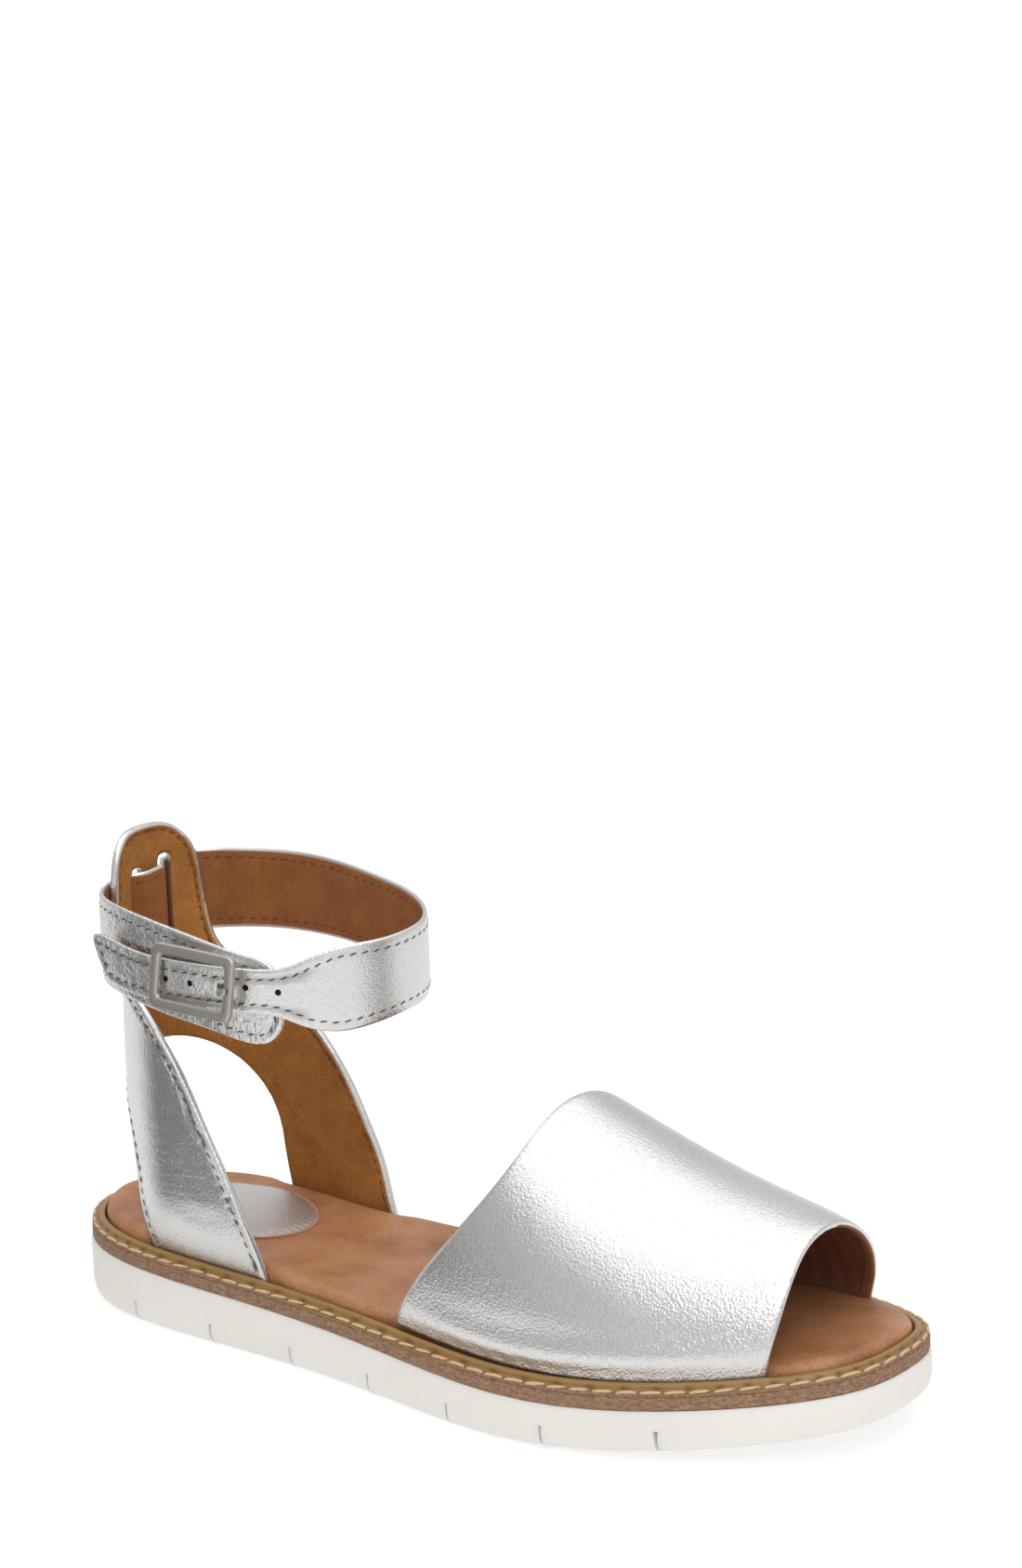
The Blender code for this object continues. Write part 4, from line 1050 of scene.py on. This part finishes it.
def suede_lining(name, light, deep, nap_depth):
    """Suede: no shine, a cloudy colour and a short nap, painted shade along the seams, and the folded silver edge
    marked fold.
    """
    made, tree = new_material(name)
    where = add_node(tree, "ShaderNodeTexCoord", {})
    cloud = add_node(
        tree, "ShaderNodeTexNoise",
        {"Vector": where.outputs["Object"], "Scale": 1 / (9 * MM), "Detail": 5.0, "Roughness": 0.65},
    )
    nap = add_node(
        tree, "ShaderNodeTexNoise", {"Vector": where.outputs["Object"], "Scale": 1 / (0.6 * MM), "Detail": 3.0}
    )
    mixed = add_node(
        tree, "ShaderNodeMath", {0: cloud.outputs[0], 1: nap.outputs[0]}, operation="MULTIPLY"
    )
    tone = add_node(tree, "ShaderNodeMapRange", {"Value": mixed.outputs[0], 1: 0.15, 2: 0.36})
    colour = add_node(
        tree, "ShaderNodeMix", {0: tone.outputs[0], 6: from_hex(deep), 7: from_hex(light)}, data_type="RGBA"
    )
    seam = add_node(tree, "ShaderNodeAttribute", {}, attribute_name="seam")
    narrow = add_node(tree, "ShaderNodeMapRange", {"Value": seam.outputs["Fac"], 1: 0.35, 2: 0.85, 4: 0.85})
    # painted shade: the seam's trench is darkened towards the thread's brown
    groove_shaded = add_node(
        tree, "ShaderNodeMix",
        {0: narrow.outputs[0], 6: colour.outputs[2], 7: from_hex(THREAD_BROWN)}, data_type="RGBA",
    )
    fold = add_node(tree, "ShaderNodeAttribute", {}, attribute_name="fold")
    foiled = add_node(
        tree, "ShaderNodeMapRange",
        {"Value": fold.outputs["Fac"], 1: 1 - EDGE_FOLD / FOLD_REACH - 0.02, 2: 1 - EDGE_FOLD / FOLD_REACH + 0.02},
    )
    edged = add_node(
        tree, "ShaderNodeMix", {0: foiled.outputs[0], 6: groove_shaded.outputs[2], 7: from_hex(SILVER)}, data_type="RGBA"
    )
    metal = add_node(tree, "ShaderNodeMath", {0: foiled.outputs[0], 1: 0.94}, operation="MULTIPLY")
    gloss = add_node(
        tree, "ShaderNodeMapRange", {"Value": foiled.outputs[0], 3: 0.92, 4: 0.35}
    )
    fuzz = add_node(tree, "ShaderNodeBump", {"Height": nap.outputs[0], "Distance": nap_depth, "Strength": 1.0})
    pressed = add_node(
        tree, "ShaderNodeBump",
        {"Height": narrow.outputs[0], "Distance": 0.35 * MM, "Strength": 1.0, "Normal": fuzz.outputs[0]},
        invert=True,
    )
    surface(tree, {
        "Base Color": edged.outputs[2], "Metallic": metal.outputs[0], "Roughness": gloss.outputs[0],
        "Normal": pressed.outputs[0], "Specular IOR Level": 0.25,
    })
    return made


def thread_material(name, colour):
    """Polyester thread: a low shine and a fine twist."""
    made, tree = new_material(name)
    where = add_node(tree, "ShaderNodeTexCoord", {})
    twist = add_node(
        tree, "ShaderNodeTexNoise", {"Vector": where.outputs["Object"], "Scale": 1 / (0.3 * MM), "Detail": 1.0}
    )
    ply = add_node(tree, "ShaderNodeBump", {"Height": twist.outputs[0], "Distance": 0.05 * MM, "Strength": 1.0})
    surface(tree, {"Base Color": from_hex(colour), "Roughness": 0.6, "Normal": ply.outputs[0]})
    return made


dark_thread = thread_material("edge thread, grey brown polyester", THREAD_DARK)
brown_thread = thread_material("lining thread, brown polyester", THREAD_BROWN)


def sew_rims(piece, rims, thread, label, keep):
    """Stitch along the long rims of a piece, and give back the places of the seams."""
    ground = tree_of(piece)
    seams = []
    for number, rim in enumerate(rims):
        if length_of(rim) < SHORTEST_FOLD:
            continue
        line = inset_line(*rim, STITCH_INSET, 0.7 * MM)
        row = sew(
            f"{label}_{number + 1}", line, ground, STITCH_PITCH, STITCH_SIZE, STITCH_SLANT, thread, keep
        )
        hang_on_root(row, "silver_leather")
        seams += [spot for spot in line if keep(Vector(spot))]
    return seams


quarter = copy_node("heel_quarter", "heel_quarter_leather")
split_sides(quarter, HEEL_AXIS)
outer_rims, inner_rims = face_rims(quarter, 0), face_rims(quarter, 1)
add_bevels(quarter)
refine(quarter, 50, 0.6, 2, short_rims(outer_rims, inner_rims))


def away_from_arch(spot):
    """The arch over the heel is cut plain, without a folded edge inside."""
    return spot.z > ARCH_TOP or spot.x > ARCH_FRONT


mark(quarter, "fold", rim_places(quarter, 1, away_from_arch), FOLD_REACH)
press_creases(quarter, LEG_CREASES, outer_rims)
squashed = quarter.data.attributes.new("squash", "FLOAT", "POINT")
for number, vertex in enumerate(quarter.data.vertices):
    from_middle = (vertex.co - SQUASH_MIDDLE).length / SQUASH_REACH
    squashed.data[number].value = math.exp(-from_middle ** 2)


def above_footbed(spot):
    return spot.z > 22 * MM


def sewn_inside(spot):
    return above_footbed(spot) and away_from_arch(spot)


seams = sew_rims(quarter, outer_rims, dark_thread, "quarter_stitches", above_footbed)
seams += sew_rims(quarter, inner_rims, brown_thread, "quarter_lining_stitches", sewn_inside)
mark(quarter, "seam", seams, 1.0 * MM)
quarter_silver = silver_leather("quarter, silver foiled calf", 0.07 * MM, 0.30)
suede = suede_lining("quarter lining, tan suede", SUEDE, SUEDE_DEEP, 0.12 * MM)
for finish in (quarter_silver, suede, quarter_silver):
    quarter.data.materials.append(finish)
hang_on_root(quarter, "silver_leather", "heel_quarter")


# Ankle strap: one strap of silver leather lined with tan leather, from its square buckle end round
# the back through the tab's slots and over the front, where it narrows to a tongue with punched holes.
ANKLE_AXIS = Vector((-62, -2.5, 0)) * MM
STRAP_LINING = "9A643A"
STRAP_LINING_DEEP = "85532E"
# the punched holes of the tongue, each drawn as a disc of painted shade: x and z, in mm, and their radius
PUNCHED = ((-70.0, 100.5), (-62.0, 100.2), (-45.6, 100.4), (-37.5, 99.4))
PUNCH_RADIUS = 0.85 * MM
STRAP_CREASES = (
    (((-34, 107), (-33, 101), (-34, 95)), 1.2, 0.18),
    (((-41, 104), (-40.5, 99), (-41, 94)), 0.9, 0.15),
    (((-49, 91), (-48, 87), (-49, 84)), 1.0, 0.18),
    (((-53, 93), (-50, 90), (-44, 89)), 1.1, 0.16),
    (((-88, 112), (-86, 107), (-87, 103)), 1.3, 0.20),
    (((-82, 110), (-79, 107), (-78, 104)), 1.1, 0.18),
    (((-95, 108), (-92, 103), (-93, 99)), 1.4, 0.16),
)

strap = copy_node("ankle_strap", "ankle_strap_leather")
split_sides(strap, ANKLE_AXIS)
outer_rims, inner_rims = face_rims(strap, 0), face_rims(strap, 1)
add_bevels(strap)
refine(strap, 60, 0.4, 2, short_rims(outer_rims, inner_rims))
mark(strap, "fold", rim_places(strap, 1, everywhere), FOLD_REACH)
press_creases(strap, STRAP_CREASES, outer_rims)
# the foil has cracked where the buckle end and the tongue are bent each time it is fastened
worn = strap.data.attributes.new("crinkle", "FLOAT", "POINT")
for number, vertex in enumerate(strap.data.vertices):
    on_tongue = min(1.0, max(0.0, (-34 * MM - vertex.co.x) / (10 * MM)))
    at_end = min(1.0, max(0.0, (-70 * MM - vertex.co.x) / (6 * MM), (94 * MM - vertex.co.z) / (3 * MM)))
    worn.data[number].value = on_tongue * (0.35 + 0.65 * at_end) if vertex.co.y < 0 else 0.0
seams = sew_rims(strap, outer_rims, dark_thread, "strap_stitches", above_footbed)
seams += sew_rims(strap, inner_rims, brown_thread, "strap_lining_stitches", above_footbed)
mark(strap, "seam", seams, 1.0 * MM)
strap_silver = silver_leather("strap, silver foiled calf", 0.07 * MM, 0.31)
strap_tan = suede_lining("strap lining, tan leather", STRAP_LINING, STRAP_LINING_DEEP, 0.03 * MM)
for finish in (strap_silver, strap_tan, strap_silver):
    strap.data.materials.append(finish)
hang_on_root(strap, "silver_leather", "ankle_strap")

hole_shade, tree = new_material("punched hole, painted shade")
# painted shade: a flat dark disc on the strap stands for each hole and the shade inside it
surface(tree, {"Base Color": from_hex("2A1A12"), "Roughness": 1.0, "Specular IOR Level": 0.0})
strap_ground = tree_of(strap)
for number, (x, z) in enumerate(PUNCHED):
    spot, out, _, _ = strap_ground.ray_cast(Vector((x * MM, -0.2, z * MM)), Vector((0, 1, 0)))
    bpy.ops.mesh.primitive_uv_sphere_add(segments=16, ring_count=8, radius=PUNCH_RADIUS)
    hole = bpy.context.object
    hole.name = f"punched_hole_{number + 1}"
    flat = Matrix.Translation(spot) @ out.to_track_quat("Z", "Y").to_matrix().to_4x4() @ Matrix.Diagonal((1, 1, 0.12, 1))
    hole.data.transform(flat)
    hole.data.shade_smooth()
    hole.data.materials.append(hole_shade)
    hang_on_root(hole, "silver_leather")


# Buckle: a cast frame with rounded bars, tumbled and plated satin nickel, and its prong.
NICKEL = "BDB9B1"

satin, tree = new_material("buckle, tumbled satin nickel plate")
where = add_node(tree, "ShaderNodeTexCoord", {})
tumbled = add_node(
    tree, "ShaderNodeTexNoise", {"Vector": where.outputs["Object"], "Scale": 1 / (0.5 * MM), "Detail": 3.0}
)
blasted = add_node(
    tree, "ShaderNodeBump", {"Height": tumbled.outputs[0], "Distance": 0.02 * MM, "Strength": 1.0}
)
surface(tree, {
    "Base Color": from_hex(NICKEL), "Metallic": 1.0, "Roughness": 0.42, "Normal": blasted.outputs[0],
})
for node, name in (("buckle_frame", "buckle_frame_cast"), ("buckle_prong", "buckle_prong_wire")):
    metal = copy_node(node, name)
    refine(metal, 70, 0.2, 2)
    metal.data.materials.append(satin)
    hang_on_root(metal, "buckle_metal", node)
